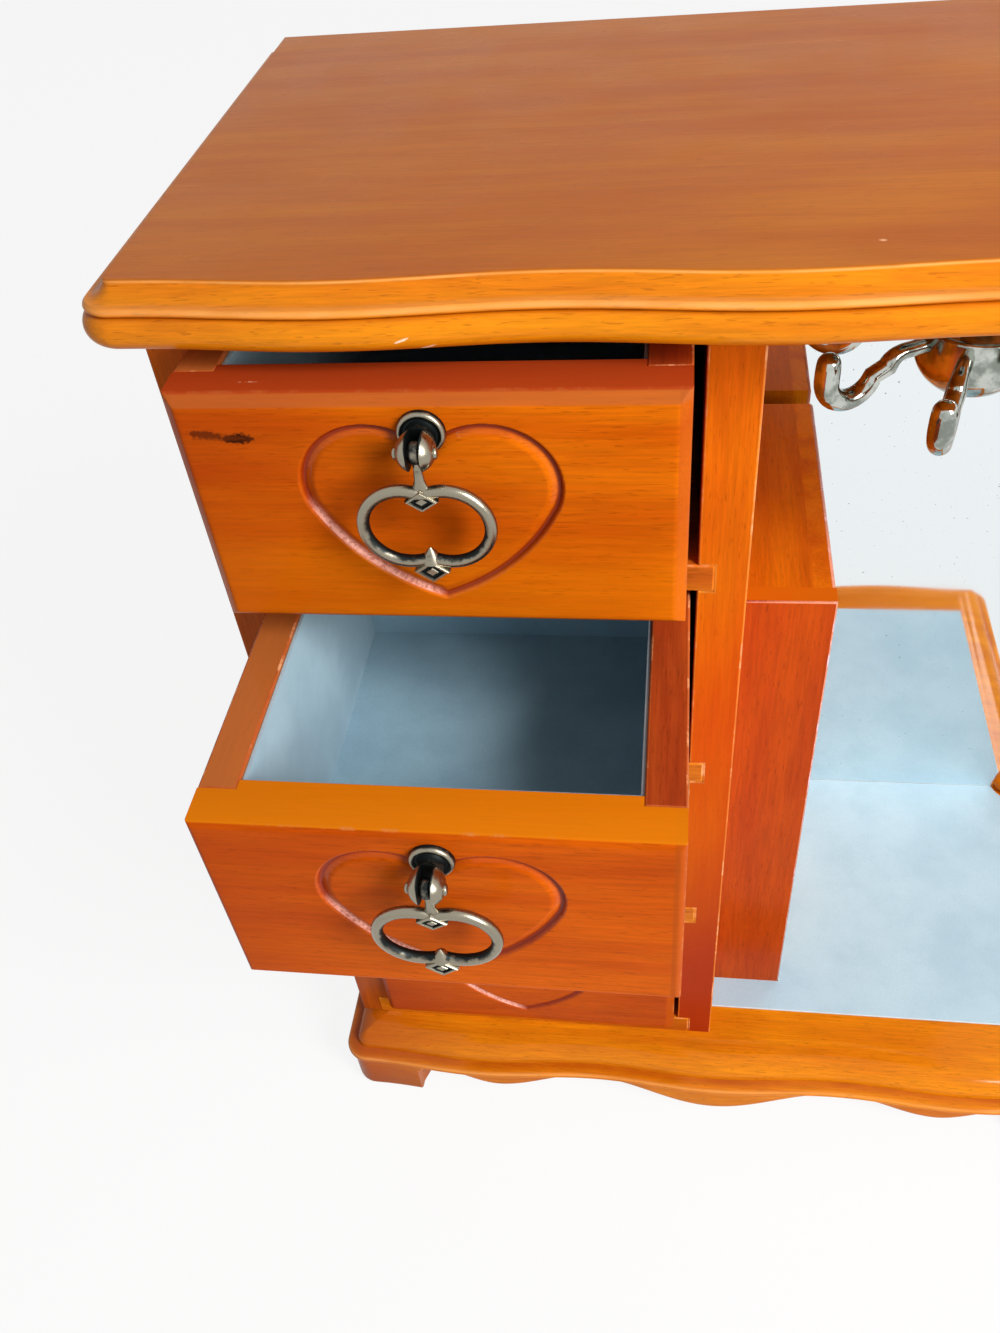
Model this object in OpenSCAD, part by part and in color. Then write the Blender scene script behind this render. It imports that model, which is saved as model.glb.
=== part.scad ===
// Vanity and jewellery box: a stack of four drawers beside an open bay with a mirror at its back.
// X runs to the right, -Y is the front and Z is up, and z = 0 is the table that the feet stand on.

/* [Case] */
// Width over the top and base mouldings
overall_w = 280; // [276:1:292]
// Depth of the case, from the front edges of the uprights to the outside of the back
case_d = 132.5; // [130:0.5:140]
// Clear height between the base board and the top board
clear_h = 292; // [290:1:300]
// Thickness of the top board
top_t = 13; // [12:0.5:16]
// Height of the base, from the table to its flat top
base_h = 34; // [32:1:40]
// How far the mouldings stand out in front of the uprights
front_over = 17.5; // [16:0.5:20]
// How far the mouldings stand out behind the back
back_over = 5.5; // [2:0.5:10]
// Thickness of the left side board
side_t = 11; // [9:0.5:12]
// Thickness of the partition
partition_t = 12; // [10:0.5:14]
// Thickness of the boards between the drawers
board_t = 8; // [6:0.5:9]
// How deep those boards are let into the uprights
housing = 4; // [2:0.5:5]

/* [Moulding] */
// Rise and fall of the wavy front edge
wave_amp = 1.2; // [0.5:0.1:2]
// Radius of the front corners
corner_r = 9; // [6:0.5:12]
// Height of the lowest point of the apron above the table
pendant_z = 7; // [5:0.5:10]
// Thickness of the apron boards
apron_t = 9; // [7:0.5:12]

/* [Drawers] */
// Distance from one drawer to the next
pitch = 72; // [71:0.5:73]
// Height of a drawer front
front_h = 60; // [56:0.5:61]
// Thickness of a drawer front
front_t = 13; // [10:0.5:14]
// Bevel round the face of a drawer front
front_bevel = 2.4; // [1:0.2:3]
// The same bevel on the second drawer, which is planed flatter
front_bevel_2 = 1; // [0.6:0.2:3]
// Thickness of the drawer sides
wall_t = 9; // [6:0.5:10]
// Thickness of the drawer back
rear_t = 8; // [6:0.5:9]
// Gap between a drawer in the middle of its opening and the upright beside it
drawer_gap = 1.5; // [0.5:0.1:1.6]
// How far the loose top drawer has slid over towards the left side board
sit_1 = 1.3; // [0:0.1:1.3]
// How far the top drawer is pulled out
out_1 = 23; // [0:1:90]
// How far the second drawer is pulled out
out_2 = 74; // [0:1:90]
// How far the third drawer is pulled out
out_3 = 0; // [0:1:90]
// How far the lowest drawer is pulled out
out_4 = 6; // [0:1:90]
// Width of the heart cut into each front
heart_w = 54; // [40:1:60]
// Height of that heart
heart_h = 44; // [34:1:46]
// Width of the groove that draws the heart
groove_w = 2; // [1:0.2:2.4]
// Depth of that groove
groove_d = 1.2; // [0.8:0.1:2]

/* [Pulls] */
// Height of the pull above the middle of the front
pull_rise = 22; // [14:0.5:23]
// Distance from the front to the pull's pin
pin_reach = 7.5; // [7.5:0.5:9]
// Radius of the pin
pin_r = 1; // [0.8:0.1:1.2]
// Running clearance round the pin
pin_play = 0.05; // [0.02:0.01:0.09]
// Radius of each round lobe of the ring, along the middle of its rod
lobe_r = 9; // [8:0.5:10]
// Half the distance between the two lobes' centres
lobe_x = 4.3; // [4:0.1:5.5]
// Radius of the ring's rod
rod_r = 1.35; // [1:0.05:1.4]

/* [Bay] */
// Width of the boxed-in housing beside the partition
box_w = 25.8; // [20:0.2:30]
// Height of that housing
box_h = 194; // [180:1:200]
// Distance from the front edges of the uprights to the housing
box_set_back = 23; // [20:0.5:30]
// Thickness of the housing's boards
box_t = 6; // [4:0.5:8]
// Thickness of the mirror glass
glass_t = 3; // [2:0.5:4]
// Thickness of the boards that close the back
back_t = 6; // [4:0.5:8]
// Radius of the corner post's shaft
post_r = 7.5; // [6:0.5:8]

/* [Carousel] */
// Number of hooks
hook_n = 8; // [6:1:8]
// Distance from the spindle to the bottom of a hook
hook_reach = 35; // [32:0.5:37]
// Height of the hooks' arms above the base board
arm_h = 252; // [240:1:256]
// Radius of the hub's bowl
hub_r = 14.5; // [13:0.5:16]
// Radius of the spindle
spindle_r = 4; // [3:0.5:5]

/* [Hidden] */
$fn = 48;
wood = "#c4651c";
wood_light = "#d9821f";
wood_red = "#a5492a";
lining_blue = "#a9c6d6";
pewter = "#8f8b80";
chrome = "#d4d8da";
drawer_n = 4;
// The lowest drawer's pull has lost its ring
with_ring = [1, 2, 3];

// Uprights and drawer openings, in x
left_out = -overall_w / 2 + 6.5;
left_in = left_out + side_t;
part_right = -1.5;
part_left = part_right - partition_t;
drawer_x = (left_in + part_left) / 2;
drawer_w = part_left - left_in - 2 * drawer_gap;

// Levels, in z
deck_z = base_h;
top_z = deck_z + clear_h;
bottom_board_t = board_t + 1.4;
side_lift = 0.3;
front_lift = 1;
outs = [out_1, out_2, out_3, out_4];
sits = [min(sit_1, drawer_gap - 0.2), 0, 0, 0];
bevels = [front_bevel, front_bevel_2, front_bevel, front_bevel];
function board_top(n) = deck_z + bottom_board_t + (drawer_n - n) * pitch;

// Depths, in y from the front edges of the uprights
back_y = case_d + back_over;
backing_y = case_d - back_t;
mirror_y = backing_y - glass_t;
drawer_d = backing_y - 1;
rear_y = drawer_d - rear_t;
nose_l = 3.7;
front_reach = max(outs) + pin_reach + nose_l;
case_front_y = (front_reach - back_y) / 2;

// Drawer joinery
rabbet = 3;
floor_t = 3;
floor_lift = 4;
lining_t = 0.8;
inner_w = drawer_w - 2 * wall_t;

// Corner post and mirror
post_x = 128.5;
post_y = 126;
slot_in = 4;
panel_right = post_x - post_r + slot_in;

// Carousel, centred in the part of the bay that the hooks sweep
carousel_x = 54;
carousel_y = 60;
hook_turn = 206;
plate_r = 21;
plate_t = 6;
head_r = 7;
head_t = 2;

module in_frame() {
    translate([0, case_front_y, 0]) children();
}

// Moulded boards: one outline, drawn in by the amount that the profile gives at each height
function wave(x) = wave_amp * cos(540 * x / (overall_w / 2 - corner_r));
function edge_y(x, inset) = -front_over - wave(x) + inset;
front_steps = 54;
corner_steps = 5;
function outline(inset) =
    let (r = max(corner_r - inset, 0.5),
         half = overall_w / 2 - inset,
         reach = overall_w / 2 - corner_r,
         corner_y = -front_over + wave_amp + inset + r)
    concat(
        [for (i = [0 : front_steps])
            let (t = 2 * i / front_steps - 1) [t * (half - r), edge_y(t * reach, inset)]],
        [for (i = [1 : corner_steps])
            let (a = -90 + 90 * i / corner_steps) [half - r + r * cos(a), corner_y + r * sin(a)]],
        [[half, back_y], [-half, back_y]],
        [for (i = [0 : corner_steps - 1])
            let (a = 180 + 90 * i / corner_steps) [-half + r + r * cos(a), corner_y + r * sin(a)]]);

module moulded_board(profile, z0) {
    n = len(outline(0));
    rows = len(profile);
    points = [for (p = profile) for (q = outline(p[0])) [q[0], q[1], z0 + p[1]]];
    walls = [for (k = [0 : rows - 2]) for (i = [0 : n - 1])
        let (j = (i + 1) % n) [k * n + i, (k + 1) * n + i, (k + 1) * n + j, k * n + j]];
    foot = [[for (i = [0 : n - 1]) i]];
    head = [[for (i = [n - 1 : -1 : 0]) (rows - 1) * n + i]];
    polyhedron(points = points, faces = concat(foot, walls, head), convexity = 6);
}

function arc(s, z, r, from, to, steps) =
    [for (i = [0 : steps]) let (a = from + (to - from) * i / steps) [s + r * cos(a), z + r * sin(a)]];

// Top board: a half-round nosing, a small bead, and a cove up to the flat top
top_nose_r = 3.9;
top_profile = concat(
    arc(top_nose_r, top_nose_r, top_nose_r, 270, 120, 7),
    [[1.3, 8.1], [1.2, 8.8]],
    arc(1.8, 14.4, 5.2, 270, 335, 4),
    [[7, top_t]]);

// Base board: a bead at the foot, a quirk above it, and a broad thumb moulding up to the flat top
base_board_t = 12;
thumb_r = 11;
base_profile = concat(
    [[1.5, 0], [0.3, 0.8], [0, 1.8]],
    [[0.5, 2.9], [2.2, 3.7], [4.4, 4]],
    [for (i = [0 : 5])
        let (a = 90 * i / 5) [4.6 + thumb_r * (1 - cos(a)), 5 + (base_board_t - 5.8) * sin(a)]],
    [[16.2, base_board_t]]);

module top_slab() {
    color(wood) moulded_board(top_profile, top_z);
}

module base_board() {
    color(wood_light) moulded_board(base_profile, deck_z - base_board_t);
}

// Aprons: boards round the base, cut along a curved lower edge into bracket feet
apron_in = 1.5;
apron_top = deck_z - base_board_t;
foot_in = 112;
foot_lean = 3;
function ease(a, b, t) = a + (b - a) * (1 - cos(180 * t)) / 2;
function run(x0, z0, x1, z1, steps) =
    [for (i = [0 : steps - 1]) let (t = i / steps) [x0 + (x1 - x0) * t, ease(z0, z1, t)]];
front_half_edge = concat(
    run(0, pendant_z, 47, 19, 8),
    run(47, 19, 79, 11.5, 6),
    run(79, 11.5, 103, 19.5, 5),
    [[103, 19.5], [foot_in - foot_lean, 18.5], [foot_in - 1, 14], [foot_in, 0], [overall_w / 2, 0]]);

module front_cut() {
    left = [for (i = [len(front_half_edge) - 1 : -1 : 1]) [-front_half_edge[i][0], front_half_edge[i][1]]];
    polygon(concat(left, front_half_edge, [[overall_w / 2, apron_top], [-overall_w / 2, apron_top]]));
}

module side_cut(y0, y1) {
    foot = 24;
    mid = (y0 + y1) / 2;
    low = concat(
        [[y0, 0], [y0 + foot, 0], [y0 + foot + 1, 14], [y0 + foot + foot_lean, 18]],
        run(y0 + foot + 12, 19, mid, 15, 5),
        run(mid, 15, y1 - foot - 12, 19, 5),
        [[y1 - foot - foot_lean, 18], [y1 - foot - 1, 14], [y1 - foot, 0], [y1, 0]]);
    polygon(concat(low, [[y1, apron_top], [y0, apron_top]]));
}

module apron_plan() {
    difference() {
        polygon(outline(apron_in));
        polygon([for (q = outline(apron_in + apron_t)) [q[0], q[1] > back_y - 1 ? back_y + 1 : q[1]]]);
    }
}

apron_split = -front_over + wave_amp + apron_in + apron_t + 1;

module base_apron_front() {
    color(wood_light) intersection() {
        linear_extrude(apron_top) intersection() {
            apron_plan();
            translate([-overall_w, apron_split - 40]) square([2 * overall_w, 40]);
        }
        translate([0, 20, 0]) rotate([90, 0, 0]) linear_extrude(60) front_cut();
    }
}

module base_apron_side(side) {
    color(wood_light) intersection() {
        linear_extrude(apron_top) intersection() {
            apron_plan();
            translate([side > 0 ? 0 : -overall_w, apron_split]) square([overall_w, back_y - apron_split]);
        }
        translate([-overall_w, 0, 0]) rotate([90, 0, 90]) linear_extrude(2 * overall_w) side_cut(apron_split, back_y);
    }
}

module base_apron_back() {
    w = overall_w - 2 * (apron_in + apron_t);
    arch = 16;
    color(wood) difference() {
        translate([-w / 2, back_y - apron_t, 0]) cube([w, apron_t, apron_top]);
        translate([-w / 2 + 22, back_y - apron_t - 1, -1]) cube([w - 44, apron_t + 2, arch + 1]);
    }
}

// Uprights, with a housing cut for the end of each board between the drawers
module housings(face_x, way) {
    for (n = [1 : drawer_n])
        translate([min(face_x, face_x + way * housing), -1, board_top(n) - (n == drawer_n ? bottom_board_t : board_t)])
            cube([housing, backing_y + 1, n == drawer_n ? bottom_board_t : board_t]);
}

module left_panel() {
    color(wood) difference() {
        translate([left_out, 0, deck_z]) cube([side_t, case_d, clear_h]);
        housings(left_in, -1);
    }
}

module partition() {
    color(wood_red) difference() {
        translate([part_left, 0, deck_z]) cube([partition_t, case_d, clear_h]);
        housings(part_left, 1);
    }
}

module divider(n) {
    t = n == drawer_n ? bottom_board_t : board_t;
    color(wood) translate([left_in - housing, 0, board_top(n) - t])
        cube([part_left - left_in + 2 * housing, backing_y, t]);
}

module case_back() {
    color(wood_red) translate([left_in, backing_y, deck_z]) cube([part_left - left_in, back_t, clear_h]);
}

// Bay: mirror glass on a backing board, held at the right in the slot of a turned post
module mirror_glass() {
    color("#c9d6da") translate([part_right, mirror_y, deck_z])
        cube([panel_right - part_right, glass_t, clear_h]);
}

module mirror_backing() {
    color(wood_red) translate([part_right, backing_y, deck_z])
        cube([panel_right - part_right, back_t, clear_h]);
}

post_foot_r = post_r + 2.5;
post_half = concat(
    [[0, 0]],
    arc(post_foot_r - 4, 4, 4, 270, 450, 6),
    [[post_r - 1.2, 10], [post_r + 0.6, 11.5], [post_r + 0.6, 13.5], [post_r - 1.8, 16]],
    [for (i = [1 : 6]) [post_r - 1.8 + 1.8 * sin(90 * i / 6), 16 + (clear_h / 2 - 16) * i / 6]]);

module corner_post() {
    upper = [for (i = [len(post_half) - 2 : -1 : 0]) [post_half[i][0], clear_h - post_half[i][1]]];
    color(wood_light) difference() {
        translate([post_x, post_y, deck_z]) rotate_extrude() polygon(concat(post_half, upper));
        translate([post_x - 2 * post_r, mirror_y, deck_z - 1])
            cube([panel_right - post_x + 2 * post_r, glass_t + back_t, clear_h + 2]);
    }
}

// Housing: three boards that box in the corner between the partition and the mirror
box_back = mirror_y - 4;
box_right = part_right + box_w;

module box_front() {
    color(wood) translate([part_right, box_set_back, deck_z]) cube([box_w, box_t, box_h]);
}

module box_side() {
    color(wood) translate([box_right - box_t, box_set_back + box_t, deck_z])
        cube([box_t, box_back - box_set_back - box_t, box_h]);
}

module box_top() {
    color(wood_light) translate([part_right, box_set_back + box_t, deck_z + box_h - box_t])
        cube([box_w - box_t, box_back - box_set_back - box_t, box_t]);
}

// Lining card on the bay's floor, cut to fit round the housing and the post
lining_front = 10.8;
lining_right = 123;

module bay_lining() {
    color(lining_blue) translate([0, 0, deck_z]) linear_extrude(lining_t) difference() {
        polygon([
            [part_right, lining_front], [lining_right, lining_front], [lining_right, mirror_y],
            [box_right, mirror_y], [box_right, box_set_back], [part_right, box_set_back]]);
        translate([post_x, post_y]) circle(post_foot_r + 0.3);
    }
}

// Carousel: a plate under the top board, a spindle that turns in it, and a hub with hooks
hub_top = deck_z + arm_h + 4;
hub_drop = 20;
socket_r = 2.1;
socket_d = 5;
head_floor = 3;

module at_carousel() {
    translate([carousel_x, carousel_y, 0]) children();
}

module carousel_plate() {
    color(chrome) at_carousel() translate([0, 0, top_z - plate_t]) difference() {
        cylinder(r = plate_r, h = plate_t);
        translate([0, 0, -1]) cylinder(r = spindle_r + pin_play, h = plate_t + 2);
        translate([0, 0, head_floor]) cylinder(r = head_r + 0.3, h = plate_t);
    }
}

module carousel_spindle() {
    bottom = hub_top - 12;
    color(chrome) at_carousel() {
        translate([0, 0, bottom]) cylinder(r = spindle_r, h = top_z - plate_t + head_floor + 0.3 - bottom);
        translate([0, 0, top_z - plate_t + head_floor + 0.3]) cylinder(r = head_r, h = head_t);
    }
}

module carousel_hub() {
    bowl = [for (i = [0 : 9])
        let (a = 90 * i / 9) [hub_r * sin(a), hub_top - 8 - (hub_drop - 8) * cos(a)]];
    color(chrome) at_carousel() difference() {
        rotate_extrude() polygon(concat(bowl, [[hub_r, hub_top - 1], [hub_r - 1, hub_top], [0, hub_top]]));
        translate([0, 0, hub_top - 12]) cylinder(r = spindle_r, h = 20);
        for (k = [0 : hook_n - 1])
            rotate([0, 90, hook_turn + k * 360 / hook_n])
                translate([-(deck_z + arm_h), 0, hub_r - socket_d]) cylinder(r = socket_r, h = socket_d + 1);
    }
}

// A hook's middle line, as distance from the spindle, height above the arm, and rod radius
hook_u_r = 6.6;
hook_drop = 9.5;
hook_line = concat(
    [[hub_r - socket_d, 0, 2], [hub_r + 1, 0, 2], [hook_reach - 14, 0, 2], [hook_reach - 11.5, -0.5, 2.1]],
    [[hook_reach - 9.4, -2.2, 2.3]],
    [for (i = [0 : 8])
        let (a = 200 + 160 * i / 8)
        [hook_reach + hook_u_r * cos(a), -hook_drop + hook_u_r * (1 + sin(a)), 2.4 + 0.07 * i]],
    [[hook_reach + hook_u_r, -0.4, 3.1], [hook_reach + hook_u_r, 2.2, 2.9], [hook_reach + hook_u_r, 3.9, 2.2]],
    [[hook_reach + hook_u_r, 4.7, 1]]);

module hook() {
    sides = 10;
    rows = len(hook_line);
    function lean(k) =
        let (a = hook_line[max(k - 1, 0)], b = hook_line[min(k + 1, rows - 1)]) atan2(b[1] - a[1], b[0] - a[0]);
    points = [for (k = [0 : rows - 1]) for (i = [0 : sides - 1])
        let (p = hook_line[k], a = 360 * i / sides, t = lean(k))
        [p[0] - p[2] * cos(a) * sin(t), p[2] * sin(a), p[1] + p[2] * cos(a) * cos(t)]];
    walls = [for (k = [0 : rows - 2]) for (i = [0 : sides - 1])
        let (j = (i + 1) % sides) [k * sides + i, k * sides + j, (k + 1) * sides + j, (k + 1) * sides + i]];
    start = [[for (i = [sides - 1 : -1 : 0]) i]];
    tip = [[for (i = [0 : sides - 1]) (rows - 1) * sides + i]];
    polyhedron(points = points, faces = concat(start, walls, tip), convexity = 4);
}

module carousel_hooks() {
    color(chrome) at_carousel()
        for (k = [0 : hook_n - 1])
            rotate([0, 0, hook_turn + k * 360 / hook_n]) translate([0, 0, deck_z + arm_h]) hook();
}

// Drawers, drawn about the middle of the front's lower edge, with the face at y = 0
module at_drawer(n) {
    translate([drawer_x - sits[n - 1], -outs[n - 1], board_top(n)]) children();
}

// Heart: a round lobe on each side runs into a flatter curve, and these meet in a blunt tip
lobe = [12.2, 7];
lobe_size = 15;
flank = [-18.2, 21.2];
flank_size = 48.5;
heart_rise = 1.6;
function heart(grow) =
    let (r = lobe_size + grow,
         R = flank_size + grow,
         half = concat(
             arc(lobe[0], lobe[1], r, acos(-lobe[0] / r), -25, 14),
             arc(flank[0], flank[1], R, -27, -acos(-flank[0] / R), 8)),
         other = [for (i = [len(half) - 2 : -1 : 1]) [-half[i][0], half[i][1]]])
    [for (p = concat(half, other)) [p[0] * heart_w / 54.4, p[1] * heart_h / 45.75]];

module heart_groove() {
    rotate([90, 0, 0]) translate([0, 0, -groove_d]) linear_extrude(groove_d + 1) difference() {
        polygon(heart(groove_w / 2));
        polygon(heart(-groove_w / 2));
    }
}

module bevelled(length, size, bevel) {
    linear_extrude(length)
        polygon([[0, bevel], [bevel, 0], [size - bevel, 0], [size, bevel], [size, front_t], [0, front_t]]);
}

module drawer_front(n) {
    color(wood) at_drawer(n) difference() {
        intersection() {
            translate([-drawer_w / 2, 0, front_lift]) bevelled(front_h, drawer_w, bevels[n - 1]);
            translate([-drawer_w / 2, 0, front_lift + front_h]) rotate([0, 90, 0])
                bevelled(drawer_w, front_h, bevels[n - 1]);
        }
        for (side = [-1, 1])
            translate([side * (drawer_w - wall_t) / 2 - wall_t / 2 - 0.01, front_t - rabbet, -1])
                cube([wall_t + 0.02, rabbet + 1, front_h + 4]);
        translate([-inner_w / 2 - rabbet, front_t - rabbet, floor_lift])
            cube([inner_w + 2 * rabbet, rabbet + 1, floor_t]);
        translate([0, 0, front_lift + front_h / 2]) {
            translate([0, 0, heart_rise]) heart_groove();
            translate([0, shank_l, pull_rise]) rotate([90, 0, 0]) cylinder(r = shank_r, h = shank_l + 1);
        }
    }
}

module drawer_side(n, side) {
    x0 = side > 0 ? inner_w / 2 : -drawer_w / 2;
    color(wood_red) at_drawer(n) difference() {
        translate([x0, front_t - rabbet, side_lift])
            cube([wall_t, drawer_d - front_t + rabbet, front_lift + front_h - side_lift]);
        translate([-inner_w / 2 - rabbet, front_t - rabbet - 1, floor_lift])
            cube([inner_w + 2 * rabbet, rear_y + 2 * rabbet - front_t + 1, floor_t]);
    }
}

module drawer_back(n) {
    color(wood_red) at_drawer(n) difference() {
        translate([-inner_w / 2, rear_y, side_lift]) cube([inner_w, rear_t, front_lift + front_h - side_lift]);
        translate([-inner_w / 2 - 1, rear_y - 1, floor_lift]) cube([inner_w + 2, rabbet + 1, floor_t]);
    }
}

module drawer_bottom(n) {
    color(wood) at_drawer(n) translate([-inner_w / 2 - rabbet, front_t - rabbet, floor_lift])
        cube([inner_w + 2 * rabbet, rear_y + 2 * rabbet - front_t, floor_t]);
}

module drawer_lining(n) {
    inside = rear_y - front_t;
    h = front_lift + front_h - 1 - floor_lift - floor_t;
    color(lining_blue) at_drawer(n) translate([-inner_w / 2, front_t, floor_lift + floor_t]) difference() {
        cube([inner_w, inside, h]);
        translate([lining_t, lining_t, lining_t])
            cube([inner_w - 2 * lining_t, inside - 2 * lining_t, h]);
    }
}

// Pulls, drawn about the pin: a flanged clevis post, a riveted pin, and a two-lobed drop ring
flange_r = 5;
flange_t = 1.6;
slot_w = 2.8;
slot_back = 3.6;
rivet_r = 1.3;
rivet_t = 0.5;
shank_r = 2;
shank_l = 8;
barrel_r = 4.1;
post_w = 2 * barrel_r;

// The post's outline from the shank to the nose, as radius and distance in front of the face:
// a flange with a raised rim and a sunk ring, a waist, and a barrel that swells out round the pin
post_line = concat(
    [[0, -shank_l], [shank_r, -shank_l], [shank_r, 0], [flange_r, 0], [flange_r, 0.9], [flange_r - 0.5, flange_t]],
    [[flange_r - 1, flange_t], [flange_r - 1.3, 1.1], [flange_r - 1.9, 1.1], [2.9, 2.6]],
    [for (i = [0 : 4])
        let (t = i / 4) [2.9 + (barrel_r - 2.9) * sin(90 * t), 2.9 + (pin_reach - 3.3) * t]],
    [for (i = [1 : 6])
        let (a = 90 * i / 6) [barrel_r * cos(a), pin_reach - 0.4 + (nose_l + 0.4) * sin(a)]]);

module at_pull(n) {
    at_drawer(n) translate([0, -pin_reach, front_lift + front_h / 2 + pull_rise]) children();
}

module pull_post(n) {
    color(pewter) at_pull(n) difference() {
        translate([0, pin_reach, 0]) rotate([90, 0, 0]) rotate_extrude($fn = 40) polygon(post_line);
        translate([-slot_w / 2, -nose_l - 1, -barrel_r - 1])
            cube([slot_w, nose_l + 1 + slot_back, 2 * barrel_r + 2]);
        translate([-post_w, 0, 0]) rotate([0, 90, 0]) cylinder(r = pin_r, h = 2 * post_w);
    }
}

module pull_pin(n) {
    color(pewter) at_pull(n) rotate([0, 90, 0]) {
        translate([0, 0, -post_w / 2]) cylinder(r = pin_r, h = post_w);
        for (side = [0, 1])
            mirror([0, 0, side]) translate([0, 0, post_w / 2]) cylinder(r1 = rivet_r, r2 = 0.8, h = rivet_t);
    }
}

eye_r = 2.3;
eye_w = 2.2;
ring_drop = 18;
cusp_z = sqrt(lobe_r * lobe_r - lobe_x * lobe_x);
cusp_a = atan2(cusp_z, -lobe_x);

// A plate in diamond form, thicker than the rod, with its face sunk inside a raised rim
module diamond(w, h) {
    rotate([90, 0, 0]) translate([0, 0, -rod_r - 0.3]) difference() {
        linear_extrude(2 * rod_r + 0.6) scale([w / h, 1]) circle(h / 2, $fn = 4);
        translate([0, 0, 2 * rod_r + 0.2]) linear_extrude(1) scale([w / h, 1]) circle(h / 2 - 0.8, $fn = 4);
    }
}

module pull_ring(n) {
    neck_z = cusp_z - ring_drop;
    color(pewter) at_pull(n) difference() {
        union() {
            translate([-eye_w / 2, 0, 0]) rotate([0, 90, 0]) cylinder(r = eye_r, h = eye_w);
            translate([0, 0.9, 0]) rotate([90, 0, 0]) linear_extrude(1.8)
                polygon([
                    [-eye_w / 2, 0], [-eye_w / 2, -barrel_r], [-2.6, neck_z + 0.6], [-2.6, neck_z],
                    [2.6, neck_z], [2.6, neck_z + 0.6], [eye_w / 2, -barrel_r], [eye_w / 2, 0]]);
            translate([0, 0, -ring_drop]) {
                for (side = [0, 1])
                    mirror([side, 0, 0]) translate([lobe_x, 0, 0]) rotate([90, 0, 0]) rotate([0, 0, -cusp_a])
                        rotate_extrude(angle = 2 * cusp_a) translate([lobe_r, 0]) circle(rod_r, $fn = 24);
                translate([0, 0, cusp_z - 0.7]) diamond(7, 4.8);
                translate([0, 0, -lobe_r - rod_r - 0.5]) diamond(7.7, 5.8);
            }
        }
        translate([-post_w, 0, 0]) rotate([0, 90, 0]) cylinder(r = pin_r + pin_play, h = 2 * post_w);
    }
}

in_frame() top_slab();
in_frame() base_board();
in_frame() base_apron_front();
in_frame() base_apron_side(-1);  // base_apron_left
in_frame() base_apron_side(1);  // base_apron_right
in_frame() base_apron_back();
in_frame() left_panel();
in_frame() partition();
in_frame() divider(1);  // divider_1
in_frame() divider(2);  // divider_2
in_frame() divider(3);  // divider_3
in_frame() divider(4);  // bottom_board
in_frame() case_back();
in_frame() mirror_glass();
in_frame() mirror_backing();
in_frame() corner_post();
in_frame() box_front();
in_frame() box_side();
in_frame() box_top();
in_frame() bay_lining();
in_frame() carousel_plate();
in_frame() carousel_spindle();
in_frame() carousel_hub();
in_frame() carousel_hooks();
for (n = [1 : drawer_n]) {
    in_frame() drawer_front(n);
    in_frame() drawer_side(n, -1);
    in_frame() drawer_side(n, 1);
    in_frame() drawer_back(n);
    in_frame() drawer_bottom(n);
    in_frame() drawer_lining(n);
    in_frame() pull_post(n);
    in_frame() pull_pin(n);
}
for (n = with_ring) {
    in_frame() pull_ring(n);
}
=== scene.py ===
from math import acos, atan2, ceil, cos, degrees, hypot, pi, radians, sin, sqrt

import bmesh
import bpy
import numpy as np
from mathutils import Matrix, Vector


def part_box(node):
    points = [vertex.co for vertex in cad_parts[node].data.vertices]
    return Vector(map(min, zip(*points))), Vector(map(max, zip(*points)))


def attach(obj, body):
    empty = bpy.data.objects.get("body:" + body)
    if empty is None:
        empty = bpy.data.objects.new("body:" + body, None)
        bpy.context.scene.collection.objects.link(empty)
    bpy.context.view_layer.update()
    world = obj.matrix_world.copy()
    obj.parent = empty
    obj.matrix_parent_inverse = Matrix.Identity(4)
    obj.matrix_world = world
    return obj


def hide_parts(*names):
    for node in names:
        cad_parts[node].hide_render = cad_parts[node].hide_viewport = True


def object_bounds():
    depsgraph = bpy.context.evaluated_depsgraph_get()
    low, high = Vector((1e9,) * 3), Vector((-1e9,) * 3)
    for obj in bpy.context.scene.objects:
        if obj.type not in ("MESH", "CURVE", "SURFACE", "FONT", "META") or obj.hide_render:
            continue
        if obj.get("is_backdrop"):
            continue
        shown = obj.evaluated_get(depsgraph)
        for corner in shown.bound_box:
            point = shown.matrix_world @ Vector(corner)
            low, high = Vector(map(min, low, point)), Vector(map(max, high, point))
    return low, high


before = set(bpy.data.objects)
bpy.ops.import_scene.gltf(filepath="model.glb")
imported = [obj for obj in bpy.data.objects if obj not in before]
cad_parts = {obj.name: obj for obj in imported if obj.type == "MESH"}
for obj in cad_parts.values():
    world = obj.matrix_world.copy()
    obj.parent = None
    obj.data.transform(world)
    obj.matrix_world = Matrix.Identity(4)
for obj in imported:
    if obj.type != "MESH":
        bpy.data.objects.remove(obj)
cad_low, cad_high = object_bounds()


# Camera
# It stands close in front of the box, a little to the left and well above the top, and looks down at the
# drawers. The lens follows from the focal length in pixels of a frame that is 1333 pixels high.
camera_place = (-0.0195, -0.2405, 0.4387)
camera_azimuth = radians(11.73)
camera_elevation = radians(44.48)
camera_roll = radians(-6.84)
focal_px = 1158.3
frame_height_px = 1333


def placed(name, data):
    """A new object in the scene that holds the data."""
    made = bpy.data.objects.new(name, data)
    bpy.context.scene.collection.objects.link(made)
    return made


camera_data = bpy.data.cameras.new("camera")
camera_data.lens = focal_px / frame_height_px * camera_data.sensor_width
camera_data.clip_start = 0.01
camera = placed("camera", camera_data)
camera.matrix_world = (
    Matrix.Translation(camera_place)
    @ Matrix.Rotation(camera_azimuth, 4, "Z")
    @ Matrix.Rotation(pi / 2 - camera_elevation, 4, "X")
    @ Matrix.Rotation(camera_roll, 4, "Z")
)
bpy.context.scene.camera = camera
bpy.context.scene.view_settings.view_transform = "Standard"


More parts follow.
